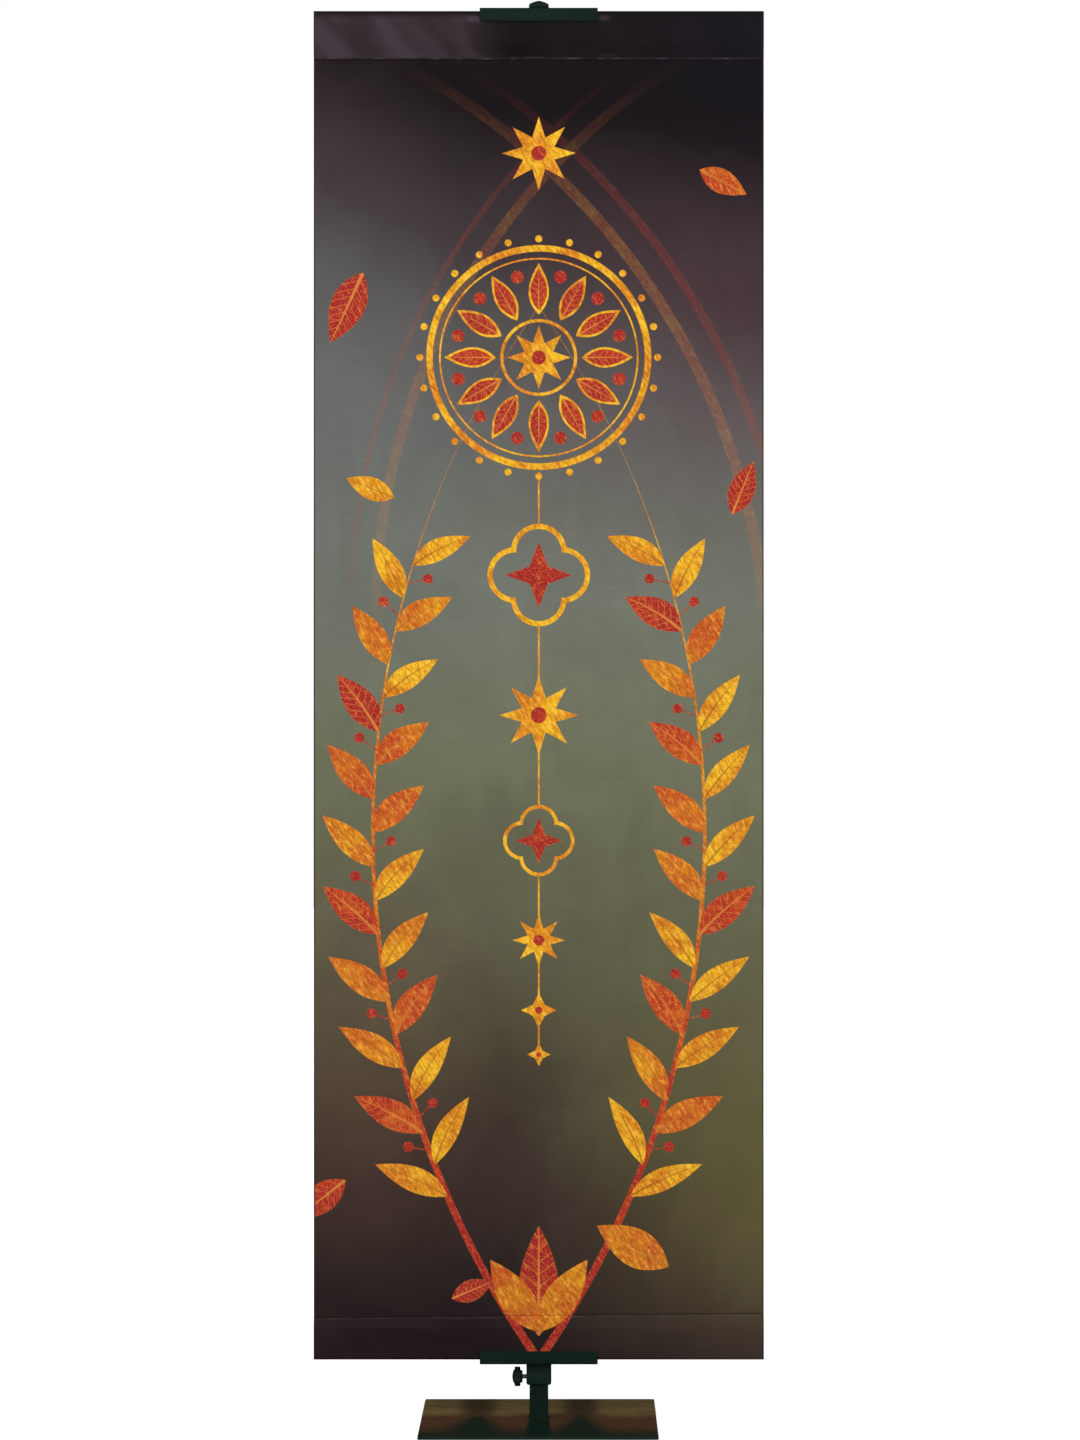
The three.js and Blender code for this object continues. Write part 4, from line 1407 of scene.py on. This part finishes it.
def enamelAndReflectionMaterial(groups):
    material, tree, shader = newMaterial("baseEnamelAndReflection")
    place = objectPlace(tree)
    across, depth, up = split(tree, place)
    cloud = noiseValue(tree, place, enamelAndReflection["cloudScale"], 2.0, 0.5)
    wavy = plus(tree, depth, remap(tree, cloud, 0.3, 0.7, -enamelAndReflection["cloudShift"], enamelAndReflection["cloudShift"]))
    # Painted reflection: darker towards the front, where the enamel's own black-green shows
    shade = remap(tree, wavy, -0.065, -0.150, 0.0, enamelAndReflection["frontShade"])
    gap = 0.0
    # Two darker hills of painted reflection, narrow at the peak and widening towards the front, with a darker
    # gap behind each
    for hill in enamelAndReflection["reflectedHills"]:
        off = absolute(tree, minus(tree, across, hill["x"]))
        before = calc(tree, "MAXIMUM", minus(tree, hill["peak"], wavy), 0.0)
        flare = calc(tree, "MULTIPLY_ADD", before, enamelAndReflection["hillFlare"], enamelAndReflection["hillSpread"])
        half = calc(tree, "MULTIPLY_ADD", before, flare, enamelAndReflection["hillTop"])
        flank = remap(tree, calc(tree, "DIVIDE", off, half), 0.3, 1.8, 1.0, 0.0)
        risen = remap(tree, wavy, hill["peak"] + 0.03, hill["peak"] - 0.05)
        shade = joined(tree, shade, times(tree, flank, risen))
        gap = joined(tree, gap, remap(tree, off, 0.006, 0.036, 1.0, 0.0))
    # The pole's painted reflection: a dark band from its foot, wider towards the front
    poleReflectionHalf = remap(tree, depth, -0.01, -0.16, enamelAndReflection["poleReflectionFoot"], enamelAndReflection["poleReflectionFront"], smooth=False)
    poleReflection = remap(tree, calc(tree, "DIVIDE", absolute(tree, across), poleReflectionHalf), 0.86, 1.16, 1.0, 0.0)
    shade = joined(tree, shade, times(tree, poleReflection, calc(tree, "LESS_THAN", depth, 0.012)))

    # Painted reflection: olive towards the back, red-brown in front of it and in the gaps, with fine streaks
    streak = noiseValue(tree, stretched(tree, place, enamelAndReflection["streakScale"]), 1.0, 3.0, 0.6)
    rear = times(tree, remap(tree, wavy, -0.01, 0.065), calc(tree, "MULTIPLY_ADD", gap, -0.8, 1.0))
    colour = mixColour(tree, rear, enamelAndReflection["reflectedRedBrown"], enamelAndReflection["reflectedOlive"])
    lines = times(tree, remap(tree, streak, 0.44, 0.66), remap(tree, depth, 0.0, 0.12, 0.08, 0.55))
    colour = mixColour(tree, lines, colour, enamelAndReflection["streak"])
    shade = joined(tree, shade, times(tree, gap, enamelAndReflection["gapShade"]))
    colour = mixColour(tree, shade, colour, enamelAndReflection["blackGreen"])
    # Only the top face carries the painted reflection; the plate's sides stay black-green
    topFace = remap(tree, up, 0.0032, 0.0039)
    plug(tree, shader.inputs["Base Color"], mixColour(tree, topFace, enamelAndReflection["blackGreen"], colour))
    peel = useGroup(tree, groups["peel"], place=place, scale=260.0)
    dust = useGroup(tree, groups["dust"], place=place, scale=34.0)["Mask"]
    plug(tree, shader.inputs["Roughness"], calc(tree, "MULTIPLY_ADD", dust, 0.08, 0.24))
    addBump(tree, shader, peel["Height"], 0.00006, 0.3)
    shader.inputs["Specular IOR Level"].default_value = enamelAndReflection["specular"]
    return material


zinc = {
    "dark": linear(150, 150, 146),
    "light": linear(196, 197, 192),
    "spangleScale": 420.0,
    "metallic": 0.55,
}
pine = {
    "pale": linear(206, 172, 122),
    "late": linear(158, 112, 66),
    "fibre": linear(120, 82, 48),
    "ringScale": (2.2, 60, 42),
    "fibreScale": (30, 900, 900),
}


def steelMaterial():
    material, tree, shader = newMaterial("zincSteel")
    spangle = noiseValue(tree, objectPlace(tree), zinc["spangleScale"], 3.0, 0.6)
    colour = mixColour(tree, remap(tree, spangle, 0.35, 0.65), zinc["dark"], zinc["light"])
    plug(tree, shader.inputs["Base Color"], colour)
    plug(tree, shader.inputs["Roughness"], remap(tree, spangle, 0.3, 0.7, 0.24, 0.42))
    addBump(tree, shader, spangle, 0.00005, 0.5)
    shader.inputs["Metallic"].default_value = zinc["metallic"]
    return material


def woodMaterial():
    material, tree, shader = newMaterial("planedWood")
    place = objectPlace(tree)
    rings = noiseValue(tree, stretched(tree, place, pine["ringScale"]), 1.0, 4.0, 0.55, 0.9)
    fibres = noiseValue(tree, stretched(tree, place, pine["fibreScale"]), 1.0, 3.0, 0.6)
    colour = mixColour(tree, remap(tree, rings, 0.34, 0.62), pine["pale"], pine["late"])
    colour = mixColour(tree, remap(tree, fibres, 0.45, 0.7, 0.0, 0.4), colour, pine["fibre"])
    plug(tree, shader.inputs["Base Color"], colour)
    plug(tree, shader.inputs["Roughness"], remap(tree, fibres, 0.3, 0.7, 0.55, 0.75))
    addBump(tree, shader, fibres, 0.0001)
    return material


# The stand's pieces. Each takes its place and outer size from the solid that it stands for.
pole = {"corner": 0.0025, "wall": 0.0015, "ease": 0.0003, "rows": 12}


def makePole(coat):
    low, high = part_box("pole")
    side = high.x - low.x
    ease = pole["ease"]
    bore = side - 2 * pole["wall"]
    boreCorner = pole["corner"] - pole["wall"]
    rings = [roundedSquare(side - 2 * ease, pole["corner"] - ease, low.z)]
    heights = [lerp(low.z, high.z, row / pole["rows"]) for row in range(1, pole["rows"])]
    heights = [low.z + ease, *heights, high.z - ease]
    rings += [roundedSquare(side, pole["corner"], height) for height in heights]
    rings.append(roundedSquare(side - 2 * ease, pole["corner"] - ease, high.z))
    rings += [roundedSquare(bore, boreCorner, high.z), roundedSquare(bore, boreCorner, low.z)]
    mesh = smoothed(loftMesh("poleTube", rings, loop=True))
    piece = placePiece("poleTube", mesh, coat)
    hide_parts("pole")
    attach(piece, standBody)


cap = {
    "spigot": 0.0208,
    "spigotCorner": 0.001,
    "spigotTaper": 0.0016,
    "taperHeight": 0.0012,
    "seatGap": 0.0003,
    "rim": 0.0031,
    "flat": 0.002,
    "fullness": 1.5,
    "domeRows": 14,
    "edge": 0.0004,
}


def makeCap(plastic):
    low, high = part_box("pole_cap")
    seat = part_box("pole")[1].z + cap["seatGap"]
    side = high.x - low.x
    corner = pole["corner"]
    rimTop = seat + cap["rim"]
    rings = [
        roundedSquare(cap["spigot"] - cap["spigotTaper"], cap["spigotCorner"], low.z),
        roundedSquare(cap["spigot"], cap["spigotCorner"], low.z + cap["taperHeight"]),
        roundedSquare(cap["spigot"], cap["spigotCorner"], seat),
        roundedSquare(side - 2 * cap["edge"], corner - cap["edge"], seat),
        roundedSquare(side, corner, seat + cap["edge"]),
    ]
    for row in range(cap["domeRows"] + 1):
        rise = row / cap["domeRows"]
        scale = lerp(1, cap["flat"] / side, rise ** cap["fullness"])
        rings.append(roundedSquare(side * scale, corner * scale, lerp(rimTop, high.z, rise)))
    piece = placePiece("capPlug", smoothed(loftMesh("capPlug", rings), 50), plastic)
    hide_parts("pole_cap")
    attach(piece, standBody)


collar = {
    "bore": 0.0262,
    "boreCorner": 0.0006,
    "corner": 0.003,
    "chamfer": 0.002,
    "holeRadius": 0.00325,
    "holeSides": 40,
    "edge": 0.0004,
}


def makeCollar(plastic):
    low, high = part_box("lower_sleeve")
    side = high.x - low.x
    chamfer = collar["chamfer"]
    small = collar["corner"] - chamfer
    rings = [
        roundedSquare(side - 2 * chamfer, small, low.z),
        roundedSquare(side, collar["corner"], low.z + chamfer),
        roundedSquare(side, collar["corner"], high.z - chamfer),
        roundedSquare(side - 2 * chamfer, small, high.z),
        roundedSquare(collar["bore"], collar["boreCorner"], high.z),
        roundedSquare(collar["bore"], collar["boreCorner"], low.z),
    ]
    piece = placePiece("slideCollar", loftMesh("slideCollar", rings, loop=True), plastic)
    screwLow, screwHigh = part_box("knob_screw")
    axisHeight = (screwLow.z + screwHigh.z) / 2
    hole = (axisHeight, collar["holeRadius"], collar["holeSides"])
    drillRings = [circleAbout(x, *hole) for x in (-side, 0)]
    drill = placePiece("drill", loftMesh("drill", drillRings))
    cut = piece.modifiers.new("crossHole", "BOOLEAN")
    cut.operation = "DIFFERENCE"
    cut.solver = "EXACT"
    cut.object = drill
    settle(piece)
    bpy.data.objects.remove(drill)
    bevelled(piece, collar["edge"], 3, 30)
    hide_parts("lower_sleeve")
    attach(piece, standBody)


clamp = {"sheet": 0.002, "bend": 0.001, "edge": 0.00035, "arcSteps": 8}


# A folded channel's section as (y, height above its web's outside) about the slot's middle
def channelSection(half, height):
    sheet, bend, steps = clamp["sheet"], clamp["bend"], clamp["arcSteps"]
    outer = half + sheet
    wide = bend + sheet

    def arc(centreX, radius, start, end):
        turns = [math.radians(lerp(start, end, i / steps)) for i in range(steps + 1)]
        return [(centreX + radius * math.cos(turn), wide + radius * math.sin(turn)) for turn in turns]

    section = [(-outer, height)] + arc(-outer + wide, wide, 180, 270)
    section += arc(outer - wide, wide, 270, 360) + [(outer, height), (half, height)]
    section += arc(half - bend, bend, 0, -90) + arc(-half + bend, bend, 270, 180) + [(-half, height)]
    return section


def makeClamp(name, node, upwards, coat):
    low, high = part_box(node)
    half = (high.y - low.y) / 2 - clamp["sheet"]
    middle = (low.y + high.y) / 2
    section = channelSection(half, high.z - low.z)
    rings = []
    for x in (low.x, high.x):
        ring = []
        for y, height in section:
            ring.append((x, middle + y, low.z + height if upwards else high.z - height))
        rings.append(ring)
    piece = placePiece(name, loftMesh(name, rings), coat)
    bevelled(piece, clamp["edge"], 3, 40)
    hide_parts(node)
    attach(piece, standBody)


basePlate = {"corner": 0.003, "cornerSteps": 10, "edge": 0.0007, "edgeSteps": 5}


def makeBasePlate(paint):
    low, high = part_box("base_plate")
    side = high.x - low.x
    corner, segments, edge = basePlate["corner"], basePlate["cornerSteps"], basePlate["edge"]
    turns = quarterTurns(basePlate["edgeSteps"])
    levels = [(edge * (1 - math.sin(turn)), low.z + edge * (1 - math.cos(turn))) for turn in turns]
    levels += [(edge * (1 - math.cos(turn)), high.z - edge * (1 - math.sin(turn))) for turn in turns]
    rings = [roundedSquare(side - 4 * edge, corner / 2, low.z, segments)]
    for inset, height in levels:
        rings.append(roundedSquare(side - 2 * inset, corner - inset, height, segments))
    rings.append(roundedSquare(side - 4 * edge, corner / 2, high.z, segments))
    piece = placePiece("footPlate", smoothed(loftMesh("footPlate", rings)), paint)
    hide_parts("base_plate")
    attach(piece, standBody)


knob = {
    "lobes": 6,
    "radius": 0.0134,
    "valley": 0.0019,
    "lobeStart": 0.0032,
    "lobeThickness": 0.0080,
    "lobeEdge": 0.0014,
    "faceRadius": 0.0102,
    "faceDepth": 0.0042,
    "hubRadius": 0.0085,
    "fillet": 0.0007,
    "hubEdge": 0.0006,
    "boreRadius": 0.00325,
    "boreEase": 0.0004,
    "boreDepth": 0.0090,
    "around": 120,
    "faceSteps": 9,
    "edgeSteps": 6,
    "filletSteps": 3,
}


def makeKnobHead(plastic):
    low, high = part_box("knob_head")
    axisHeight = (low.z + high.z) / 2
    hub, fillet = knob["hubRadius"], knob["fillet"]
    edge = knob["lobeEdge"]
    lobeFace, lobeBack = knob["lobeStart"], knob["lobeStart"] + knob["lobeThickness"]
    length = high.x - low.x
    # Stations: distance from the dome's tip, radius, how lobed it is, and how far in from the lobes
    stations = []
    faceTurn = math.acos(1 - lobeFace / knob["faceDepth"])
    for step in range(knob["faceSteps"] + 1):
        turn = faceTurn * step / knob["faceSteps"]
        along = knob["faceDepth"] * (1 - math.cos(turn))
        stations.append((along, knob["faceRadius"] * max(math.sin(turn), 0.03), 0, 0))
    for turn in quarterTurns(knob["edgeSteps"]):
        stations.append((lobeFace + edge * (1 - math.cos(turn)), 0, 1, edge * (1 - math.sin(turn))))
    for turn in quarterTurns(knob["edgeSteps"]):
        stations.append((lobeBack - edge * (1 - math.sin(turn)), 0, 1, edge * (1 - math.cos(turn))))
    stations.append((lobeBack, hub + fillet, 0.12, 0))
    for turn in quarterTurns(knob["filletSteps"]):
        stations.append((lobeBack + fillet * math.sin(turn), hub, 0, 0))
    hubEdge, bore, ease = knob["hubEdge"], knob["boreRadius"], knob["boreEase"]
    for along, radius in (
        (length - hubEdge, hub), (length - hubEdge * 0.3, hub - hubEdge * 0.3), (length, hub - hubEdge),
        (length, bore + ease), (length - ease, bore), (length - knob["boreDepth"], bore),
    ):
        stations.append((along, radius, 0, 0))
    rings = []
    for along, radius, lobed, inset in stations:
        ring = []
        for i in range(knob["around"]):
            angle = 2 * math.pi * i / knob["around"]
            dip = knob["valley"] * (1 - math.cos(knob["lobes"] * angle)) / 2
            reach = lerp(radius, knob["radius"] - dip - inset, lobed)
            ring.append((low.x + along, reach * math.sin(angle), axisHeight + reach * math.cos(angle)))
        rings.append(ring)
    piece = placePiece("knobHead", smoothed(loftMesh("knobHead", rings), 50), plastic)
    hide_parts("knob_head")
    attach(piece, knobBody)


# Geometry Nodes helpers
def nodeTree(name, inputs):
    tree = bpy.data.node_groups.new(name, "GeometryNodeTree")
    tree.interface.new_socket("Geometry", in_out="INPUT", socket_type="NodeSocketGeometry")
    tree.interface.new_socket("Geometry", in_out="OUTPUT", socket_type="NodeSocketGeometry")
    for label, kind, value in inputs:
        socket = tree.interface.new_socket(label, in_out="INPUT", socket_type="NodeSocket" + kind)
        if kind in ("Float", "Int"):
            socket.default_value = value
    return tree, tree.nodes.new("NodeGroupInput").outputs


def grow(tree, kind, **values):
    node = tree.nodes.new("GeometryNode" + kind)
    for label, value in values.items():
        socket = node.inputs[label.replace("_", " ")]
        plug(tree, socket, value)
    return node


# Even points along a path of edges
def spacedAlong(tree, path, distance):
    curve = grow(tree, "MeshToCurve", Mesh=path)
    spaced = tree.nodes.new("GeometryNodeResampleCurve")
    spaced.mode = "LENGTH"
    tree.links.new(curve.outputs[0], spaced.inputs["Curve"])
    tree.links.new(distance, spaced.inputs["Length"])
    return spaced.outputs[0]


# The turn that points an instance's X along the path
def alongPath(tree):
    facing = tree.nodes.new("FunctionNodeAlignRotationToVector")
    facing.axis = "X"
    tree.links.new(grow(tree, "InputTangent").outputs[0], facing.inputs["Vector"])
    return facing.outputs[0]


def scaled(tree, vector, factor):
    node = tree.nodes.new("ShaderNodeVectorMath")
    node.operation = "SCALE"
    tree.links.new(vector, node.inputs[0])
    tree.links.new(factor, node.inputs["Scale"])
    return node.outputs[0]


def finishTree(tree, geometry, material):
    realized = grow(tree, "RealizeInstances", Geometry=geometry)
    smooth = grow(tree, "SetShadeSmooth", Geometry=realized.outputs[0])
    painted = grow(tree, "SetMaterial", Geometry=smooth.outputs[0])
    tree.links.new(material, painted.inputs["Material"])
    end = tree.nodes.new("NodeGroupOutput")
    tree.links.new(painted.outputs[0], end.inputs["Geometry"])


def grown(piece, tree, values):
    modifier = piece.modifiers.new("build", "NODES")
    modifier.node_group = tree
    for item in tree.interface.items_tree:
        if item.in_out == "INPUT" and item.name in values:
            modifier[item.identifier] = values[item.name]
    settle(piece)


def pathPiece(name, lines, closed=False):
    points = []
    edges = []
    for line in lines:
        start = len(points)
        points += line
        edges += [(start + i, start + i + 1) for i in range(len(line) - 1)]
        if closed:
            edges.append((len(points) - 1, start))
    mesh = bpy.data.meshes.new(name)
    mesh.from_pydata(points, edges, [])
    return placePiece(name, mesh)


# The clamp screw: a plain closed rod whose wall the tree turns into a thread
screw = {
    "rings": 360,
    "sides": 36,
    "pitch": 0.0010,
    "depth": 0.00055,
    "tip": 0.0010,
    "runOut": 0.0015,
    "beforeCollar": 0.0005,
}


def screwTree():
    tree, given = nodeTree("cutThread", [
        ("Pitch", "Float", 0.001), ("Depth", "Float", 0.0005), ("Start", "Float", 0.0), ("End", "Float", 1.0),
        ("RunOut", "Float", 0.001), ("Axis Height", "Float", 0.0), ("Material", "Material", None),
    ])
    x, y, z = split(tree, grow(tree, "InputPosition").outputs[0])
    up = minus(tree, z, given["Axis Height"])
    turn = calc(tree, "DIVIDE", calc(tree, "ARCTAN2", up, y), 2 * math.pi)
    phase = calc(tree, "FRACT", minus(tree, calc(tree, "DIVIDE", x, given["Pitch"]), turn))
    flank = times(tree, absolute(tree, minus(tree, phase, 0.5)), 2.0)
    groove = remap(tree, flank, 0.12, 0.88, smooth=False)
    fromStart = calc(tree, "DIVIDE", minus(tree, x, given["Start"]), given["RunOut"])
    fromEnd = calc(tree, "DIVIDE", minus(tree, given["End"], x), given["RunOut"])
    fade = remap(tree, calc(tree, "MINIMUM", fromStart, fromEnd), 0.0, 1.0)
    outward = vectorCalc(tree, "NORMALIZE", combine(tree, 0.0, y, up))
    cut = scaled(tree, outward, times(tree, groove, fade, given["Depth"], -1.0))
    moved = grow(tree, "SetPosition", Geometry=given["Geometry"], Offset=cut)
    finishTree(tree, moved.outputs[0], given["Material"])
    return tree


def makeScrew(steel):
    low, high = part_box("knob_screw")
    axisHeight = (low.z + high.z) / 2
    radius = (high.z - low.z) / 2
    length = high.x - low.x
    rings = []
    for r in range(screw["rings"] + 1):
        x = low.x + length * r / screw["rings"]
        reach = min(radius, radius - screw["tip"] + (high.x - x))
        rings.append(circleAbout(x, axisHeight, reach, screw["sides"]))
    piece = placePiece("clampScrew", loftMesh("clampScrew", rings))
    grown(piece, screwTree(), {
        "Pitch": screw["pitch"], "Depth": screw["depth"],
        "Start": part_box("lower_sleeve")[0].x - screw["beforeCollar"], "End": high.x - screw["tip"],
        "RunOut": screw["runOut"], "Axis Height": axisHeight, "Material": steel,
    })
    smoothed(piece.data, 40)
    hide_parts("knob_screw")
    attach(piece, knobBody)


# The fillet weld round the pole's foot: overlapping ripples along a rounded square
weld = {
    "offset": 0.0004,
    "rise": 0.0004,
    "step": 0.0013,
    "length": 0.0011,
    "width": 0.0011,
    "height": 0.0012,
    "smallest": 0.88,
    "largest": 1.1,
    "seed": 4,
}


def weldTree():
    tree, given = nodeTree("weldRipples", [
        ("Step", "Float", 0.0013), ("Length", "Float", 0.001), ("Width", "Float", 0.002),
        ("Height", "Float", 0.002), ("Seed", "Int", 4), ("Material", "Material", None),
    ])
    spaced = spacedAlong(tree, given["Geometry"], given["Step"])
    ripple = grow(tree, "MeshIcoSphere", Radius=1.0, Subdivisions=2)
    vary = tree.nodes.new("FunctionNodeRandomValue")
    vary.data_type = "FLOAT"
    vary.inputs[2].default_value = weld["smallest"]
    vary.inputs[3].default_value = weld["largest"]
    tree.links.new(given["Seed"], vary.inputs["Seed"])
    size = combine(tree, given["Length"], given["Width"], given["Height"])
    placed = grow(
        tree, "InstanceOnPoints", Points=spaced, Instance=ripple.outputs[0],
        Rotation=alongPath(tree), Scale=scaled(tree, size, vary.outputs[1]),
    )
    finishTree(tree, placed.outputs[0], given["Material"])
    return tree


def makeWeld(coat):
    low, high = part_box("pole")
    side = high.x - low.x + 2 * weld["offset"]
    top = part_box("base_plate")[1].z + weld["rise"]
    line = roundedSquare(side, pole["corner"] + weld["offset"], top)
    piece = pathPiece("weldBead", [line], closed=True)
    grown(piece, weldTree(), {
        "Step": weld["step"], "Length": weld["length"], "Width": weld["width"],
        "Height": weld["height"], "Seed": weld["seed"], "Material": coat,
    })
    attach(piece, standBody)


# The rows of stitches that close the two pockets, on the front and on the back
stitch = {
    "pitch": 0.0030,
    "length": 0.0023,
    "radius": 0.00024,
    "lift": 0.00006,
    "drop": 0.0004,
    "sideGap": 0.0015,
    "lean": 0.08,
    "points": 6,
    "sides": 6,
    "seed": 7,
}
tacking = {
    "start": -0.122,
    "end": 0.022,
    "over": 0.0028,
    "under": 0.0038,
    "pitch": 0.0027,
    "dotLength": 0.0015,
    "tickLength": 0.0036,
    "radius": 0.00050,
}


def stitchTree():
    tree, given = nodeTree("stitchRow", [
        ("Pitch", "Float", 0.003), ("Length", "Float", 0.0023), ("Radius", "Float", 0.0002),
        ("Turn", "Float", 0.0), ("Seed", "Int", 7), ("Material", "Material", None),
    ])
    half = times(tree, given["Length"], 0.5)
    start, end = combine(tree, times(tree, half, -1.0), 0.0), combine(tree, half, 0.0)
    line = grow(tree, "CurvePrimitiveLine", Start=start, End=end)
    stepped = grow(tree, "ResampleCurve", Curve=line.outputs[0], Count=stitch["points"])
    share = grow(tree, "SplineParameter").outputs["Factor"]
    spindle = times(tree, share, minus(tree, 1.0, share), 4.0)
    thick = grow(tree, "SetCurveRadius", Curve=stepped.outputs[0], Radius=calc(tree, "POWER", spindle, 0.4))
    ring = grow(tree, "CurvePrimitiveCircle", Radius=given["Radius"], Resolution=stitch["sides"])
    slug = grow(tree, "CurveToMesh", Curve=thick.outputs[0], Profile_Curve=ring.outputs[0], Fill_Caps=True)
    spaced = spacedAlong(tree, given["Geometry"], given["Pitch"])
    tilt = tree.nodes.new("FunctionNodeRandomValue")
    tilt.data_type = "FLOAT_VECTOR"
    tilt.inputs[0].default_value = (0.0, -stitch["lean"], 0.0)
    tilt.inputs[1].default_value = (0.0, stitch["lean"], 0.0)
    tree.links.new(given["Seed"], tilt.inputs["Seed"])
    turned = tree.nodes.new("FunctionNodeRotateRotation")
    turned.rotation_space = "LOCAL"
    tree.links.new(alongPath(tree), turned.inputs[0])
    lean = vectorCalc(tree, "ADD", tilt.outputs[0], combine(tree, 0.0, given["Turn"]))
    tree.links.new(lean, turned.inputs[1])
    placed = grow(
        tree, "InstanceOnPoints", Points=spaced, Instance=slug.outputs[0], Rotation=turned.outputs[0],
    )
    finishTree(tree, placed.outputs[0], given["Material"])
    return tree


# Where stitches run: on one face of the cloth, along a row of it, and `drop` lower down
def seamLine(row, drop, outward, start=-1.0, end=1.0, count=300):
    line = []
    for i in range(count + 1):
        share = lerp(start, end, i / count)
        x = share * (clothWidth / 2 - stitch["sideGap"])
        point = clothPoint(x, {**row, "z": row["z"] - drop})
        point.y += outward * (cloth["thickness"] / 2 + stitch["lift"])
        line.append(tuple(point))
    return line


def sewn(name, tree, lines, thread, pitch, length, radius, turn=0.0):
    piece = pathPiece(name, lines)
    grown(piece, tree, {
        "Pitch": pitch, "Length": length, "Radius": radius, "Turn": turn,
        "Seed": stitch["seed"], "Material": thread,
    })
    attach(piece, standBody)
    print(name + ":", len(piece.data.polygons), "faces")
    return piece


# Two seams on both faces. Where the top one was locked, a row of dots lies over it and a row of
# upright ticks under it.
def makeStitches(rows):
    tree = stitchTree()
    darkThread = threadMaterial("darkThread")
    paleThread = threadMaterial("paleThread")
    panel = [row for row in rows if row["side"] == "panel"]
    backs = [row for row in rows if row["side"] == "back"]
    lines = [
        seamLine(panel[0], stitch["drop"], -1), seamLine(panel[-1], -stitch["drop"], -1),
        seamLine(backs[0], -cloth["hemLip"], 1), seamLine(backs[-1], cloth["hemLip"], 1),
    ]
    lockHeight = topSeam + tacking["over"]
    pocketFront = [row for row in rows if "bulge" in row and row["z"] > topSeam]
    lockRow = min(pocketFront, key=lambda row: abs(row["z"] - lockHeight))
    span = (tacking["start"], tacking["end"], 40)
    dots = seamLine(lockRow, 0, -1, *span)
    ticks = seamLine(panel[0], tacking["under"], -1, *span)
    pitch, radius = tacking["pitch"], tacking["radius"]
    return [
        sewn("hemStitches", tree, lines, darkThread, stitch["pitch"], stitch["length"], stitch["radius"]),
        sewn("lockDots", tree, [dots], paleThread, pitch, tacking["dotLength"], radius),
        sewn("lockTicks", tree, [ticks], darkThread, pitch, tacking["tickLength"], radius, math.radians(90)),
    ]


# Everything in its order
makeCamera()
makeStudio()
groups = makePrintGroups()
makeSurfaceGroups(groups)
print("studio and shader groups made")

powderCoat = coatedMaterial("powderCoat", groups)
plastic = coatedMaterial("mouldedPlastic", groups)
wood = woodMaterial()
makeBasePlate(enamelAndReflectionMaterial(groups))
makePole(powderCoat)
makeCap(plastic)
makeCollar(plastic)
makeClamp("upperChannel", "upper_clamp", False, powderCoat)
makeClamp("lowerChannel", "lower_clamp", True, powderCoat)
makeWeld(powderCoat)
makeKnobHead(plastic)
makeScrew(steelMaterial())
for node, finish in (("upper_spacer", powderCoat), ("top_batten", wood), ("bottom_batten", wood)):
    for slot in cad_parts[node].material_slots:
        slot.material = finish
print("stand made")

banner, bannerRows, cutLength = makeCloth(
    printedMaterial(groups), reverseMaterial(groups), cutEdgeMaterial(),
)
stitches = makeStitches(bannerRows)
